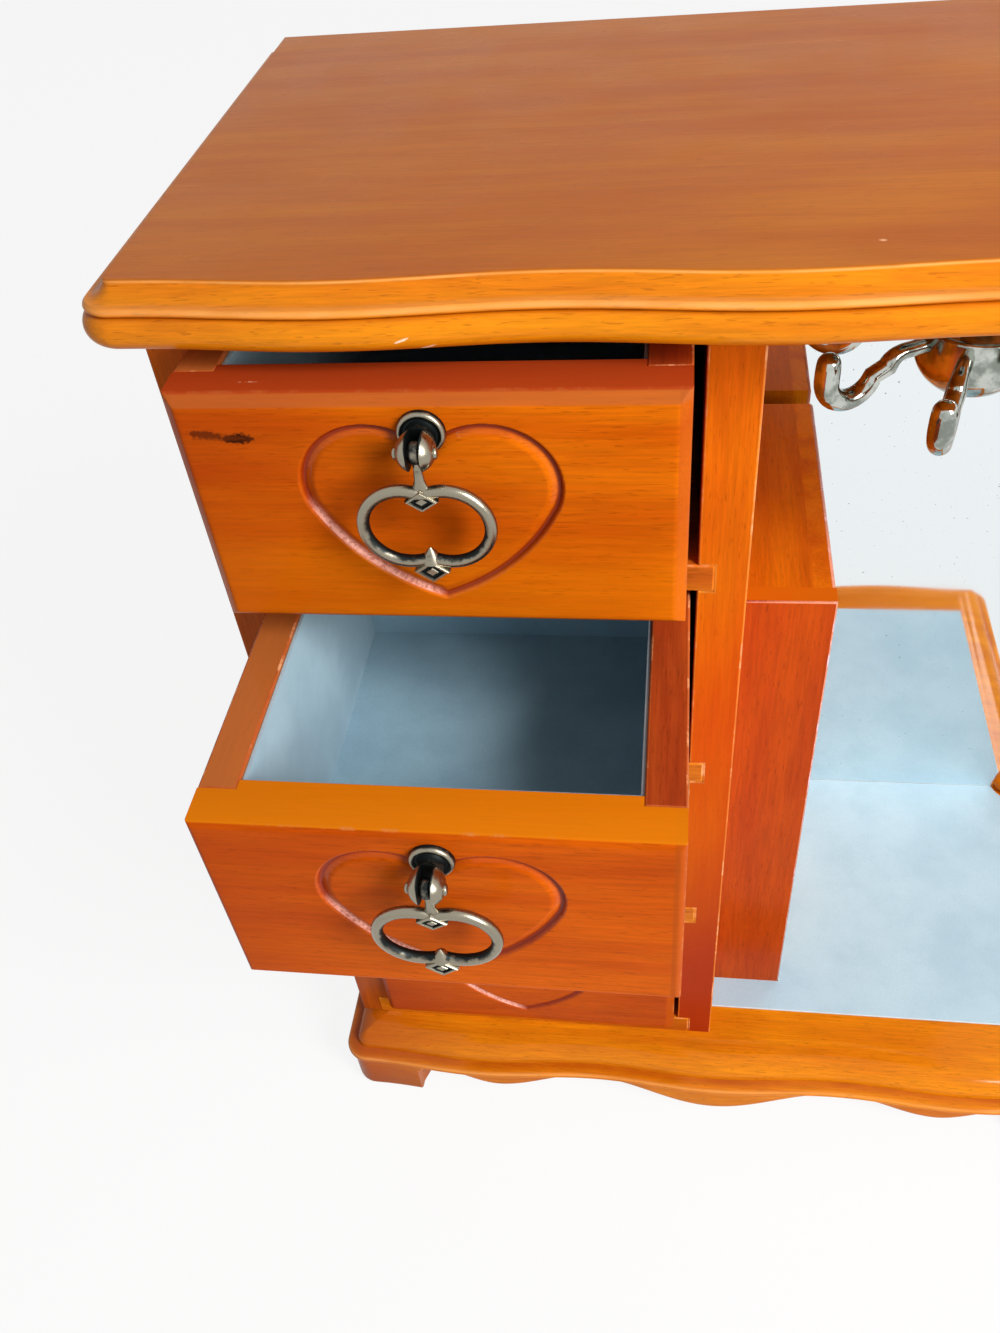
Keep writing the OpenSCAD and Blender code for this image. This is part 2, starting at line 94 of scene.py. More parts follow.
# Studio
# A white room with a plain white floor. Two lamps stand to the right and in front, as a tall window would: a
# broad low one, and a smaller one high up that lights the drawers' floors.
def node(tree, kind, inputs=None, **settings):
    """Adds a node. An input is given a socket to link or a value to hold."""
    made = tree.nodes.new(kind)
    for name, value in settings.items():
        setattr(made, name, value)
    for key, value in (inputs or {}).items():
        if isinstance(value, bpy.types.NodeSocket):
            tree.links.new(value, made.inputs[key])
        else:
            made.inputs[key].default_value = value
    return made


def result(tree, kind, inputs=None, **settings):
    """The first output of a new node."""
    return node(tree, kind, inputs, **settings).outputs[0]


def combine(operation, first, second):
    """The output of a Math node on two sockets, or on a socket and a number."""
    socket = first if isinstance(first, bpy.types.NodeSocket) else second
    return result(socket.id_data, "ShaderNodeMath", {0: first, 1: second}, operation=operation)


def times(first, second):
    """The product of two sockets, or of a socket and a number."""
    return combine("MULTIPLY", first, second)


def seen_white(tree):
    """One for the rays that look at the background: the camera's, and those that gloss and glass send on."""
    path = node(tree, "ShaderNodeLightPath").outputs
    sent_on = combine("MAXIMUM", path["Is Glossy Ray"], path["Is Transmission Ray"])
    return combine("MAXIMUM", path["Is Camera Ray"], sent_on)


ambient = 0.26
world = bpy.data.worlds.new("studio")
bpy.context.scene.world = world
world.use_nodes = True
sky = world.node_tree
sky.nodes.clear()
soft = node(sky, "ShaderNodeBackground", {"Color": (1, 1, 1, 1), "Strength": ambient})
white = node(sky, "ShaderNodeBackground", {"Color": (1, 1, 1, 1), "Strength": 1.0})
sky_mix = node(sky, "ShaderNodeMixShader", {0: seen_white(sky), 1: soft.outputs[0], 2: white.outputs[0]})
node(sky, "ShaderNodeOutputWorld", {0: sky_mix.outputs[0]})

floor_half = 3.0
floor_own_light = 0.88
floor_mesh = bpy.data.meshes.new("floor")
floor_corners = [(x * floor_half, y * floor_half, 0) for x, y in ((-1, -1), (1, -1), (1, 1), (-1, 1))]
floor_mesh.from_pydata(floor_corners, [], [(0, 1, 2, 3)])
floor = placed("floor", floor_mesh)
paper = bpy.data.materials.new("white paper floor")
paper.use_nodes = True
tree = paper.node_tree
tree.nodes.clear()
matt = node(tree, "ShaderNodeBsdfDiffuse", {"Color": (0.86, 0.86, 0.86, 1)})
glow = node(tree, "ShaderNodeEmission", {"Color": (1, 1, 1, 1), "Strength": 1.0})
share = times(seen_white(tree), floor_own_light)
floor_mix = node(tree, "ShaderNodeMixShader", {0: share, 1: matt.outputs[0], 2: glow.outputs[0]})
node(tree, "ShaderNodeOutputMaterial", {0: floor_mix.outputs[0]})
floor_mesh.materials.append(paper)
floor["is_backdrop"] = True


def lamp(name, direction, distance, size, watts, colour):
    """A square soft lamp that faces the middle of the box from that direction."""
    data = bpy.data.lights.new(name, "AREA")
    data.size = size
    data.energy = watts
    data.color = colour
    middle = (cad_low + cad_high) / 2
    away = Vector(direction).normalized()
    turn = away.to_track_quat("Z", "Y").to_matrix().to_4x4()
    placed(name, data).matrix_world = Matrix.Translation(middle + away * distance) @ turn


lamp("window", (0.66, -0.6, 0.45), 0.95, 0.32, 5.0, (1.0, 0.985, 0.96))
lamp("high window", (0.57, -0.52, 0.76), 1.1, 0.3, 8.2, (0.98, 0.99, 1.0))


# Lacquered wood and the top board
# The top is one solid board under an orange lacquer. A cutter ran a nosing, a small bead and a cove round its
# front and both sides, following an edge that waves gently in plan. The long grain runs from side to side.
def shade(code):
    """The linear colour of a six-digit code."""
    parts = [int(code[i : i + 2], 16) / 255 for i in (1, 3, 5)]
    return tuple(c / 12.92 if c <= 0.04045 else ((c + 0.055) / 1.055) ** 2.4 for c in parts) + (1.0,)


def effect(name, inputs, outputs, kind="ShaderNodeTree"):
    """An empty node group with those sockets, and its input and output nodes."""
    tree = bpy.data.node_groups.new(name, kind)
    for sockets, way in ((inputs, "INPUT"), (outputs, "OUTPUT")):
        for label, socket in sockets.items():
            tree.interface.new_socket(label, in_out=way, socket_type="NodeSocket" + socket)
    return tree, node(tree, "NodeGroupInput").outputs, node(tree, "NodeGroupOutput").inputs


def vectors(operation, first, second):
    """The outputs of a Vector Math node on a socket and another or a value."""
    return node(first.id_data, "ShaderNodeVectorMath", {0: first, 1: second}, operation=operation).outputs


def noise(vector, stretch, detail=2.0, roughness=0.5):
    """Noise in features per metre, one number for all axes or one for each."""
    if not isinstance(stretch, tuple):
        stretch = (stretch,) * 3
    inputs = {"Vector": vectors("MULTIPLY", vector, stretch)[0], "Scale": 1.0}
    inputs.update({"Detail": detail, "Roughness": roughness})
    return result(vector.id_data, "ShaderNodeTexNoise", inputs)


def step(value, low, high, out_low=0.0, out_high=1.0):
    """A smooth step of value between low and high."""
    inputs = {"Value": value, "From Min": low, "From Max": high, "To Min": out_low, "To Max": out_high}
    return result(value.id_data, "ShaderNodeMapRange", inputs, interpolation_type="SMOOTHSTEP")


def mix(factor, first, second):
    """A colour mix."""
    inputs = {0: factor, 6: first, 7: second}
    return node(factor.id_data, "ShaderNodeMix", inputs, data_type="RGBA").outputs[2]


def scaled(colour, factor):
    """A colour times a factor."""
    return result(colour.id_data, "ShaderNodeVectorMath", {0: colour, "Scale": factor}, operation="SCALE")


def make_grain():
    """Grain along X: broad figure, red patches, fine fibres and short dark pores."""
    inputs = {"Vector": "Vector", "Pale": "Color", "Deep": "Color", "Red": "Color", "Red Share": "Float"}
    inputs["Pores"] = "Float"
    tree, given, out = effect("wood grain", inputs, {"Color": "Color", "Height": "Float"})
    vector = given["Vector"]
    figure = step(noise(vector, (7, 95, 95), 5, 0.6), 0.36, 0.66)
    patch = step(noise(vector, (11, 26, 26), 2), 0.42, 0.7)
    fibre = noise(vector, (70, 1500, 1500), 3, 0.6)
    pore = step(noise(vector, (240, 2300, 2300), 1), 0.62, 0.72)
    colour = mix(figure, given["Pale"], given["Deep"])
    colour = mix(times(patch, given["Red Share"]), colour, given["Red"])
    colour = scaled(colour, step(fibre, 0.25, 0.75, 0.86, 1.1))
    pitted = times(pore, given["Pores"])
    tree.links.new(mix(pitted, colour, scaled(given["Deep"], 0.45)), out["Color"])
    tree.links.new(combine("SUBTRACT", fibre, pitted), out["Height"])
    return tree


def make_mark():
    """A mask for one nick, knot or scratch: an ellipsoid round a place, with a ragged edge."""
    inputs = {"Vector": "Vector", "Place": "Vector", "Size": "Vector", "Tilt": "Float"}
    tree, given, out = effect("mark", inputs, {"Mask": "Float"})
    away = vectors("SUBTRACT", given["Vector"], given["Place"])[0]
    turn = {"Vector": away, "Angle": given["Tilt"]}
    level = result(tree, "ShaderNodeVectorRotate", turn, rotation_type="Y_AXIS")
    spread_out = vectors("DIVIDE", level, given["Size"])[0]
    length = node(tree, "ShaderNodeVectorMath", {0: spread_out}, operation="LENGTH").outputs["Value"]
    ragged = times(noise(given["Vector"], 1200, 2), 1.1)
    edge = combine("ADD", length, combine("SUBTRACT", ragged, 0.55))
    tree.links.new(step(edge, 0.55, 1.0, 1.0, 0.0), out["Mask"])
    return tree


grain_group = make_grain()
mark_group = make_mark()
grain_turn = {"x": (0, 0, 0), "y": (0, 0, pi / 2), "z": (0, pi / 2, 0)}
lacquer_gloss = 0.3
lacquer_tint = shade("#FFB27A")
pooled_and_shade_tone = shade("#84220A")


def blank(name):
    """A new material, its emptied node tree and the object's coordinates."""
    made = bpy.data.materials.new(name)
    made.use_nodes = True
    made.node_tree.nodes.clear()
    return made, made.node_tree, node(made.node_tree, "ShaderNodeTexCoord").outputs["Object"]


def painted(tree, inputs):
    """Ends a material in a Principled surface with those inputs."""
    surface = node(tree, "ShaderNodeBsdfPrincipled", inputs)
    node(tree, "ShaderNodeOutputMaterial", {0: surface.outputs[0]})


def lacquer(
    name, pale, deep, red, red_share=0.35, along="x", shift=0.0, marks=(), fades=(), bands=(), haze=0.08,
    coat=0.06, wear_or_sheen=None, rubbed_and_glint=None
):
    """Orange lacquer on wood whose grain runs along one axis.

    Marks are (place, size, tilt, colour, strength), fades (axis, from, to, colour, strength) and bands
    (axis, middle, half width, colour, strength). The fades and bands in this script are painted light and
    shade. The last argument is (middle of a heart, colour), for a painted glint along the lower left of its
    groove.
    """
    made, tree, place = blank(name)
    turn = {"Vector": place, "Location": (shift, shift * 0.7, shift * 0.4), "Rotation": grain_turn[along]}
    inputs = {"Vector": result(tree, "ShaderNodeMapping", turn), "Pale": shade(pale)}
    inputs.update({"Deep": shade(deep), "Red": shade(red), "Red Share": red_share, "Pores": 0.4})
    grain = node(tree, "ShaderNodeGroup", inputs, node_tree=grain_group).outputs
    colour = grain["Color"]
    where = node(tree, "ShaderNodeSeparateXYZ", {0: place}).outputs
    for axis, start, end, tone, strength in fades:
        colour = mix(step(where[axis], start, end, 0.0, strength), colour, shade(tone))
    for axis, middle, half, tone, strength in bands:
        off = combine("ABSOLUTE", combine("SUBTRACT", where[axis], middle), 0.0)
        uneven = step(noise(place, 60, 3), 0.3, 0.7, 0.55, 1.0)
        share = times(step(off, half, 0.0, 0.0, strength), uneven)
        colour = mix(share, colour, shade(tone))
    for spot, size, tilt, tone, strength in marks:
        inputs = {"Vector": place, "Place": spot, "Size": size, "Tilt": tilt}
        mark = result(tree, "ShaderNodeGroup", inputs, node_tree=mark_group)
        colour = mix(times(mark, strength), colour, shade(tone))
    if wear_or_sheen:
        bare = step(noise(place, 130, 4, 0.7), 0.5, 0.66)
        colour = mix(times(bare, 0.7), colour, shade(wear_or_sheen))
    # Darker red in the heart's groove: lacquer that pooled there, and painted shade in the cut.
    depth = node(tree, "ShaderNodeAttribute", None, attribute_name="groove").outputs["Fac"]
    pooled_and_shade = step(depth, 0.15, 0.85)
    colour = mix(times(pooled_and_shade, 0.85), colour, pooled_and_shade_tone)
    # A painted glint along the lower left of the heart's groove.
    if rubbed_and_glint:
        middle, tone = rubbed_and_glint
        left = step(where["X"], middle.x + 0.0005, middle.x - 0.004)
        low = step(where["Z"], middle.z + 0.0045, middle.z - 0.003)
        uneven = step(noise(place, 1100, 3, 0.7), 0.36, 0.56, 0.3, 0.85)
        painted_glint = times(times(left, low), uneven)
        painted_glint = times(painted_glint, step(pooled_and_shade, 0.02, 0.3))
        colour = mix(painted_glint, colour, shade(tone))
    smudge = step(noise(place, 55, 3), 0.3, 0.7, lacquer_gloss - 0.05, lacquer_gloss + 0.08)
    smudge = combine("SUBTRACT", smudge, times(pooled_and_shade, 0.12))
    bump = node(tree, "ShaderNodeBump", {"Height": grain["Height"], "Strength": 0.12, "Distance": 0.0002})
    finish = {"Base Color": colour, "Roughness": smudge, "Normal": bump.outputs[0]}
    finish.update({"Specular IOR Level": haze, "Specular Tint": lacquer_tint})
    finish.update({"Coat Weight": coat, "Coat Roughness": 0.1})
    painted(tree, finish)
    return made


def cleaned(mesh, merge=True):
    """Merges the mesh's doubled points and turns its faces outwards."""
    work = bmesh.new()
    work.from_mesh(mesh)
    if merge:
        bmesh.ops.remove_doubles(work, verts=work.verts, dist=1e-6)
    bmesh.ops.recalc_face_normals(work, faces=work.faces)
    work.to_mesh(mesh)
    work.free()


def smooth(mesh, sharp):
    """Shades the mesh smooth, apart from its edges of more than that many degrees."""
    mesh.shade_smooth()
    mesh.set_sharp_from_angle(angle=radians(sharp))


def make(name, points, faces, materials, slots=None, sharp=35.0, closed=True):
    """A mesh object from points and faces. A closed one has doubles merged and faces turned outwards."""
    mesh = bpy.data.meshes.new(name)
    mesh.from_pydata([tuple(p) for p in points], [], [tuple(f) for f in faces])
    for material in materials:
        mesh.materials.append(material)
    if slots is not None:
        mesh.polygons.foreach_set("material_index", slots)
    if closed:
        cleaned(mesh)
    smooth(mesh, sharp)
    return placed(name, mesh)


def stand_for(piece, body, slot, *nodes):
    """The piece rides on the body and replaces those plain solids. The slot is not used."""
    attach(piece, body)
    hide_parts(*nodes)
    return piece


slab_low, slab_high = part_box("top_slab")
half_width = slab_high.x
back_y = slab_high.y
wave_height = 0.0012
front_y = slab_low.y + wave_height
corner_radius = 0.009
least_radius = 0.0005
front_steps = 180
corner_steps = 12


def corner(inset, side):
    """A rounded front corner of the outline, from the side to the front on the left and back on the right."""
    radius = max(corner_radius - inset, least_radius)
    centre_x = side * (half_width - inset - radius)
    centre_y = front_y + wave_height + inset + radius
    if side > 0:
        turns = np.linspace(-90, 0, corner_steps + 1)[1:]
    else:
        turns = np.linspace(180, 270, corner_steps + 1)[:-1]
    turns = np.radians(turns)
    return np.stack([centre_x + radius * np.cos(turns), centre_y + radius * np.sin(turns)], 1)


def front(inset, stations):
    """The wavy front of the outline, drawn in by inset, at stations from -1 at the left to 1 at the right."""
    radius = max(corner_radius - inset, least_radius)
    across = stations * (half_width - inset - radius)
    return np.stack([across, front_y - wave_height * np.cos(3 * pi * stations) + inset], 1)


def outline(inset):
    """The whole outline, seen from above, against the clock from the left end of the front."""
    back = np.array([(half_width - inset, back_y), (inset - half_width, back_y)])
    across = front(inset, np.linspace(-1, 1, front_steps + 1))
    return np.concatenate([across, corner(inset, 1), back, corner(inset, -1)])


def arc(inset, height, radius, start, end, steps):
    """Points of a round stretch of a profile, as insets and heights."""
    turns = np.radians(np.linspace(start, end, steps + 1))
    return [(inset + radius * cos(t), height + radius * sin(t)) for t in turns]


def walls(rings, count):
    """The faces between neighbouring rings, each of that many points."""
    pairs = [(i, (i + 1) % count) for i in range(count)]
    starts = [(k * count, (k + 1) * count) for k in range(rings - 1)]
    return [(low + i, low + j, high + j, high + i) for low, high in starts for i, j in pairs]


def moulded(name, profile, low_z, materials):
    """A board whose outline is drawn in by the profile's inset at each height."""
    rings = [outline(inset) for inset, _ in profile]
    count = len(rings[0])
    points = [(x, y, low_z + profile[k][1]) for k, ring in enumerate(rings) for x, y in ring]
    last = (len(rings) - 1) * count
    faces = [tuple(range(count - 1, -1, -1))] + walls(len(rings), count) + [tuple(range(last, last + count))]
    return make(name, points, faces, materials, closed=False)


nose = 0.0039
cove = 0.0052
slab_thick = slab_high.z - slab_low.z
slab_profile = (
    [(0.012, 0), (nose + 0.0008, 0)]
    + arc(nose, nose, nose, 270, 118, 18)
    + arc(0.0019, 0.0082, 0.0007, 230, 120, 5)
    + arc(0.0018, 0.0144, cove, 272, 332, 10)
    + arc(0.0069, slab_thick - 0.0004, 0.0004, 170, 90, 5)
    + [(0.0075, slab_thick), (0.0095, slab_thick)]
)
slab_marks = (
    ((-0.0720, -0.0434, 0.3293), (0.0020, 0.0030, 0.00035), 0.35, "#FFE2C0", 0.9),
    ((-0.0672, -0.0434, 0.3272), (0.0024, 0.0030, 0.0003), 0.35, "#FFE2C0", 0.9),
    ((0.0173, -0.0279, 0.3390), (0.0008, 0.0006, 0.0008), 0.0, "#F0B080", 0.9),
)
# Painted light and shade on the top board: the top face is painted browner as shade, the top arris and the
# bead above the quirk carry painted highlights, and the quirk and the foot of the nose are painted darker as
# shade.
top_face_painted_shade = (("Z", slab_high.z - 0.0003, slab_high.z - 0.0001, "#A8520C", 0.6),)
top_painted_lines = (
    ("Z", slab_high.z - 0.0004, 0.0004, "#FFC070", 0.6),
    ("Z", slab_low.z + 0.0087, 0.0009, "#FFB468", 0.75),
    ("Z", slab_low.z + 0.0074, 0.0008, "#A04208", 0.8),
    ("Z", slab_low.z + 0.0006, 0.0022, "#B85008", 0.5),
)
top_wood = lacquer(
    "top lacquer", "#E88A0E", "#D4700C", "#BC560E", 0.4, shift=0.11, marks=slab_marks, fades=top_face_painted_shade,
    bands=top_painted_lines, haze=0.02, coat=0.2
)
top_board = moulded("top_board", slab_profile, slab_low.z, [top_wood])
stand_for(top_board, "case", "wood", "top_slab")


# Base board
# A second moulded board under the case, of the same wood and lacquer as the top. Its edge was cut with a
# broad thumb above a narrow groove and a bead, and the boards of the case are glued on it.
base_low, base_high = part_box("base_board")
base_thick = base_high.z - base_low.z
thumb = 0.011
thumb_in = 0.0046
thumb_z = 0.005
base_profile = (
    [(0.012, 0), (0.0018, 0)]
    + arc(0.0016, 0.0018, 0.0016, 262, 100, 12)
    + [(0.0022, 0.00365), (0.0036, 0.0040), (0.0044, 0.0042)]
    + [
        (thumb_in + thumb * (1 - cos(t)), thumb_z + (base_thick - thumb_z - 0.0005) * sin(t))
        for t in np.radians(np.linspace(0, 88, 16))
    ]
    + [(0.0161, base_thick - 0.00005), (0.0168, base_thick), (0.019, base_thick)]
)
# Painted shade darkens the left end and the narrow groove, and a painted highlight lies along the bead.
base_left_painted_shade = (("X", -0.085, -0.14, "#B8500C", 0.75),)
base_painted_lines = (
    ("Z", base_low.z + 0.0041, 0.0008, "#A8440A", 0.7), ("Z", base_low.z + 0.0028, 0.0007, "#FFB468", 0.5)
)
base_wood = lacquer(
    "base lacquer", "#E88C0C", "#D4760C", "#C05C0E", 0.3, shift=0.47, fades=base_left_painted_shade, bands=base_painted_lines,
    haze=0.02, coat=0.28
)
base_board = moulded("base_moulding", base_profile, base_low.z, [base_wood])
stand_for(base_board, "case", "wood", "base_board")


# Aprons
# Boards glued under the base board along the front and the sides. Their lower edge is sawn into a hanging
# curve between bracket feet, and rounded over along the outside.
apron_inset = 0.0015
apron_thick = 0.009
apron_top = base_low.z
round_over = 0.0045
foot_inner = 0.112
apron_curve = ((0, 0.007), (0.047, 0.019), (0.079, 0.0115), (0.103, 0.0195), (0.109, 0.0185), (0.111, 0.014))
side_foot = 0.024
side_arch = 0.019
side_dip = 0.015


def eased(x, nodes):
    """The height at x of a line through the nodes that is level at each of them."""
    for (x0, z0), (x1, z1) in zip(nodes, nodes[1:]):
        if x <= x1:
            return z0 + (z1 - z0) * (1 - cos(pi * (x - x0) / (x1 - x0))) / 2
    return nodes[-1][1]


def apron(name, path, heights, material):
    """A board along path(inset), whose lower edge is at those heights and is rounded over on the outside."""
    turns = np.radians(np.linspace(0, 90, 8))
    columns = []
    for low in heights:
        over = min(round_over, apron_top - low - 0.0005)
        rows = [(apron_inset, apron_top)]
        rows += [(apron_inset + over * (1 - cos(t)), low + over * (1 - sin(t))) for t in turns]
        rows += [(apron_inset + apron_thick, low), (apron_inset + apron_thick, apron_top)]
        columns.append(rows)
    count = len(columns[0])
    points = []
    for i, rows in enumerate(columns):
        for inset, z in rows:
            x, y = path(inset)[i]
            points.append((x, y, z))
    faces = walls(len(columns), count)
    last = (len(columns) - 1) * count
    faces += [tuple(range(count)), tuple(range(last + count - 1, last - 1, -1))]
    return make(name, points, faces, [material])


apron_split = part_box("base_apron_left")[0].y
reach = half_width - corner_radius
foot_stations = {side * x / reach for side in (-1, 1) for x in (0.109, 0.110, 0.111, 0.1119, 0.1121)}
apron_stations = np.array(sorted(set(np.linspace(-1, 1, 141)) | foot_stations))


def front_path(inset):
    """Front apron's outline: a short stretch of each side, both corners and the front."""
    ends = [[(side * (half_width - inset), apron_split)] for side in (-1, 1)]
    across = front(inset, apron_stations)
    return np.concatenate([ends[0], corner(inset, -1), across, corner(inset, 1), ends[1]])


corner_heights = [0.0] * (1 + corner_steps)
from_middle = [abs(t) * reach for t in apron_stations]
front_heights = [0.0 if x > foot_inner else eased(x, apron_curve) for x in from_middle]
front_heights = corner_heights + front_heights + corner_heights
# Painted shade: the front apron darkens towards the left end and towards its rounded lower edge.
apron_painted_shade = (("X", -0.085, -0.135, "#A8400C", 0.75), ("Z", 0.016, 0.006, "#8A3A10", 0.4))
apron_wood = lacquer(
    "apron lacquer", "#E6880C", "#CC6C0C", "#B0500E", 0.4, shift=0.83, fades=apron_painted_shade, haze=0.03,
    coat=0.03
)
front_apron = apron("front_apron", front_path, front_heights, apron_wood)
stand_for(front_apron, "case", "wood", "base_apron_front")

side_middle = (apron_split + back_y) / 2
side_curve = (
    (apron_split + side_foot, 0.014),
    (apron_split + side_foot + 0.003, 0.018),
    (apron_split + side_foot + 0.012, side_arch),
    (side_middle, side_dip),
)
side_stations = np.linspace(apron_split, back_y, 90)
side_apron_wood = lacquer("side apron lacquer", "#D8720F", "#BC580D", "#984010", 0.5, along="y", shift=0.29)
for side, label in ((-1, "left"), (1, "right")):

    def side_path(inset, side=side):
        return np.stack([np.full(len(side_stations), side * (half_width - inset)), side_stations], 1)

    mirrored = [min(y, 2 * side_middle - y) for y in side_stations]
    heights = [0.0 if y < apron_split + side_foot else eased(y, side_curve) for y in mirrored]
    board = apron(f"{label}_apron", side_path, heights, side_apron_wood)
    stand_for(board, "case", "wood", f"base_apron_{label}")


# Case boards
# Plain planed boards: the left side, the partition, the boards let into them between the drawers, the backs
# and the rear apron. Every edge was eased with sandpaper before the lacquer, which is worn off on some.
def eased_board(node_name, name, finish, wear_or_sheen, ease=0.0005, body="case", slot="wood", bare=None):
    """A copy of a plain board with its outward edges rounded, or only those whose middle passes bare.

    The rounding takes the second finish: worn lacquer, and on the housing a pink painted highlight.
    """
    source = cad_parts[node_name].data
    work = bmesh.new()
    work.from_mesh(source)
    bmesh.ops.remove_doubles(work, verts=work.verts, dist=1e-6)
    bmesh.ops.dissolve_limit(work, angle_limit=radians(1), verts=work.verts, edges=work.edges)
    points = [v.co.copy() for v in work.verts]
    faces = [[v.index for v in f.verts] for f in work.faces]
    work.free()
    board = make(name, points, faces, [finish, wear_or_sheen or finish], closed=False)
    work = bmesh.new()
    work.from_mesh(board.data)
    outward = [len(e.link_faces) == 2 and e.is_convex and e.calc_face_angle() > 0.5 for e in work.edges]
    if bare:
        outward = [out and bare((e.verts[0].co + e.verts[1].co) / 2) for out, e in zip(outward, work.edges)]
    work.free()
    board.data.attributes.new("bevel_weight_edge", "FLOAT", "EDGE").data.foreach_set("value", outward)
    rounding = board.modifiers.new("eased edges", "BEVEL")
    rounding.width = ease
    rounding.segments = 2
    rounding.material = 1
    rounding.limit_method = "WEIGHT"
    rounding.harden_normals = True
    return stand_for(board, body, slot, node_name)


pale_edge = "#F2B07C"
left_wood = lacquer("left side lacquer", "#CC620E", "#A84A10", "#8E3412", 0.6, along="z", shift=0.05)
# Painted shade and dark reflection: the partition grows darker red towards its foot.
partition_painted_shade = (("Z", 0.29, 0.2, "#CC4808", 0.6), ("Z", 0.17, 0.07, "#A02C10", 0.85))
partition_wood = lacquer(
    "partition lacquer", "#E07408", "#CE5A08", "#BC460A", 0.5, "z", 0.36, fades=partition_painted_shade, haze=0.03,
    coat=0.02
)
partition_edge = lacquer(
    "partition edge", "#E58A2C", "#D87020", "#C04E20", 0.3, along="z", shift=0.36, wear_or_sheen=pale_edge
)
divider_wood = lacquer("divider lacquer", "#DC7C14", "#C4600E", "#A84414", 0.4, shift=0.62)
divider_edge = lacquer("divider edge", "#E88C24", "#D87018", "#B85018", 0.2, shift=0.62, wear_or_sheen=pale_edge)
back_wood = lacquer("back lacquer", "#A8491A", "#8C3812", "#6E2A10", 0.5, along="z", shift=0.91, haze=0.25)
eased_board("left_panel", "left_side", left_wood, None)
eased_board("partition", "partition_board", partition_wood, partition_edge)
for n in (1, 2, 3):
    eased_board(f"divider_{n}", f"drawer_board_{n}", divider_wood, divider_edge)
eased_board("bottom_board", "lowest_board", divider_wood, divider_edge)
eased_board("case_back", "drawer_back_panel", back_wood, None)
eased_board("mirror_backing", "mirror_back_panel", back_wood, None)
eased_board("base_apron_back", "rear_apron", back_wood, None)


# Housing
# Three boards, a front, a side and a top, box in the corner of the bay beside the partition. The long edge
# on the right is rounded and shiny, and a pink painted highlight colours its rounding.
box_side_wood = lacquer("housing side lacquer", "#E07A08", "#CC6208", "#B0480E", 0.4, along="z", shift=0.17)
box_top_wood = lacquer("housing top lacquer", "#D87008", "#C45C08", "#A8480C", 0.35, along="y", shift=0.53)
# The housing's edge finish is a pink painted highlight on the rounded edges of its side and front.
box_edge_highlight = lacquer(
    "housing edge", "#E09070", "#D88868", "#D08068", 0.3, along="y", shift=0.53, wear_or_sheen="#F0CCD8"
)
box_face_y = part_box("box_front")[0].y
box_side_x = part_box("box_side")[1].x
box_top_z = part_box("box_top")[1].z
# A painted highlight along the top edge of the housing front.
housing_painted_highlight = (("Z", box_top_z - 0.0004, box_top_z - 0.0001, "#D06808", 0.9),)
box_wood = lacquer(
    "housing front lacquer", "#C24E06", "#B44208", "#9E320C", 0.5, "z", 0.71, fades=housing_painted_highlight
)
near_edge = 0.0001
eased_board("box_front", "housing_front", box_wood, box_edge_highlight, bare=lambda at: at.y < box_face_y + near_edge)
eased_board(
    "box_side", "housing_side", box_side_wood, box_edge_highlight, 0.0011, bare=lambda at: at.x > box_side_x - near_edge
)
eased_board("box_top", "housing_top", box_top_wood, None, bare=lambda spot: False)


# Corner post
# A post at the right end of the mirror, which sits in a slot down its side. It was turned from one piece of
# wood with a foot at each end, and stands between the base board and the top.
def revolved(profile, steps=64):
    """Points and faces of a profile of radii and heights turned round Z. It starts and ends on the axis."""
    turns = [2 * pi * i / steps for i in range(steps)]
    points = [(radius * cos(t), radius * sin(t), z) for radius, z in profile for t in turns]
    return points, walls(len(profile), steps)


def moved(points, matrix):
    """The points under a matrix."""
    return [tuple(matrix @ Vector(p)) for p in points]


post_low, post_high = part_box("corner_post")
post_tall = post_high.z - post_low.z
post_radius = 0.0075
foot_radius = post_radius + 0.0025
foot_round = 0.004
foot_top = 0.016
waist_in = 0.0018
post_waist = post_radius - waist_in
post_turn = (
    [(0, 0), (foot_radius - foot_round, 0)]
    + arc(foot_radius - foot_round, foot_round, foot_round, -80, 90, 17)
    + [(post_radius - 0.0012, 0.0094), (post_radius - 0.0012, 0.0102)]
    + arc(post_radius - 0.0004, 0.0125, 0.001, -90, 90, 10)
    + [(post_radius - 0.0016, 0.0152), (post_waist, foot_top)]
    + [
        (post_waist + waist_in * sin(pi / 2 * k / 24), foot_top + (post_tall / 2 - foot_top) * k / 24)
        for k in range(1, 25)
    ]
)
post_turn += [(r, post_tall - z) for r, z in reversed(post_turn[:-1])]
post_wood = lacquer("post lacquer", "#E4850F", "#CC680C", "#AC4A12", 0.3, along="z", shift=0.77)


def turned(name, profile, spot, steps, finish, body, slot, replaced):
    """A turned piece on a spot that stands for one plain solid."""
    points, faces = revolved(profile, steps)
    piece = make(name, moved(points, Matrix.Translation(spot)), faces, [finish])
    stand_for(piece, body, slot, replaced)


post_spot = ((post_low.x + post_high.x) / 2, (post_low.y + post_high.y) / 2, post_low.z)
turned("turned_post", post_turn, post_spot, 64, post_wood, "case", "wood", "corner_post")


# Mirror
# A sheet of silvered glass that fills the back of the bay. A fine speckle of age shows in the silver, and a
# thin film of dust dulls it.
def resurfaced(node_name, finish):
    """Gives a finish to a solid that is shown as it is."""
    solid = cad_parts[node_name]
    solid.data.materials.clear()
    solid.data.materials.append(finish)


silver, tree, place = blank("silvered glass")
specks = step(noise(place, 900, 2), 0.72, 0.8)
tone = mix(specks, shade("#EAF0F2"), shade("#8E9694"))
film = step(noise(place, 24, 3), 0.35, 0.75, 0.015, 0.05)
painted(tree, {"Base Color": tone, "Roughness": film, "Metallic": 1.0})
resurfaced("mirror_glass", silver)


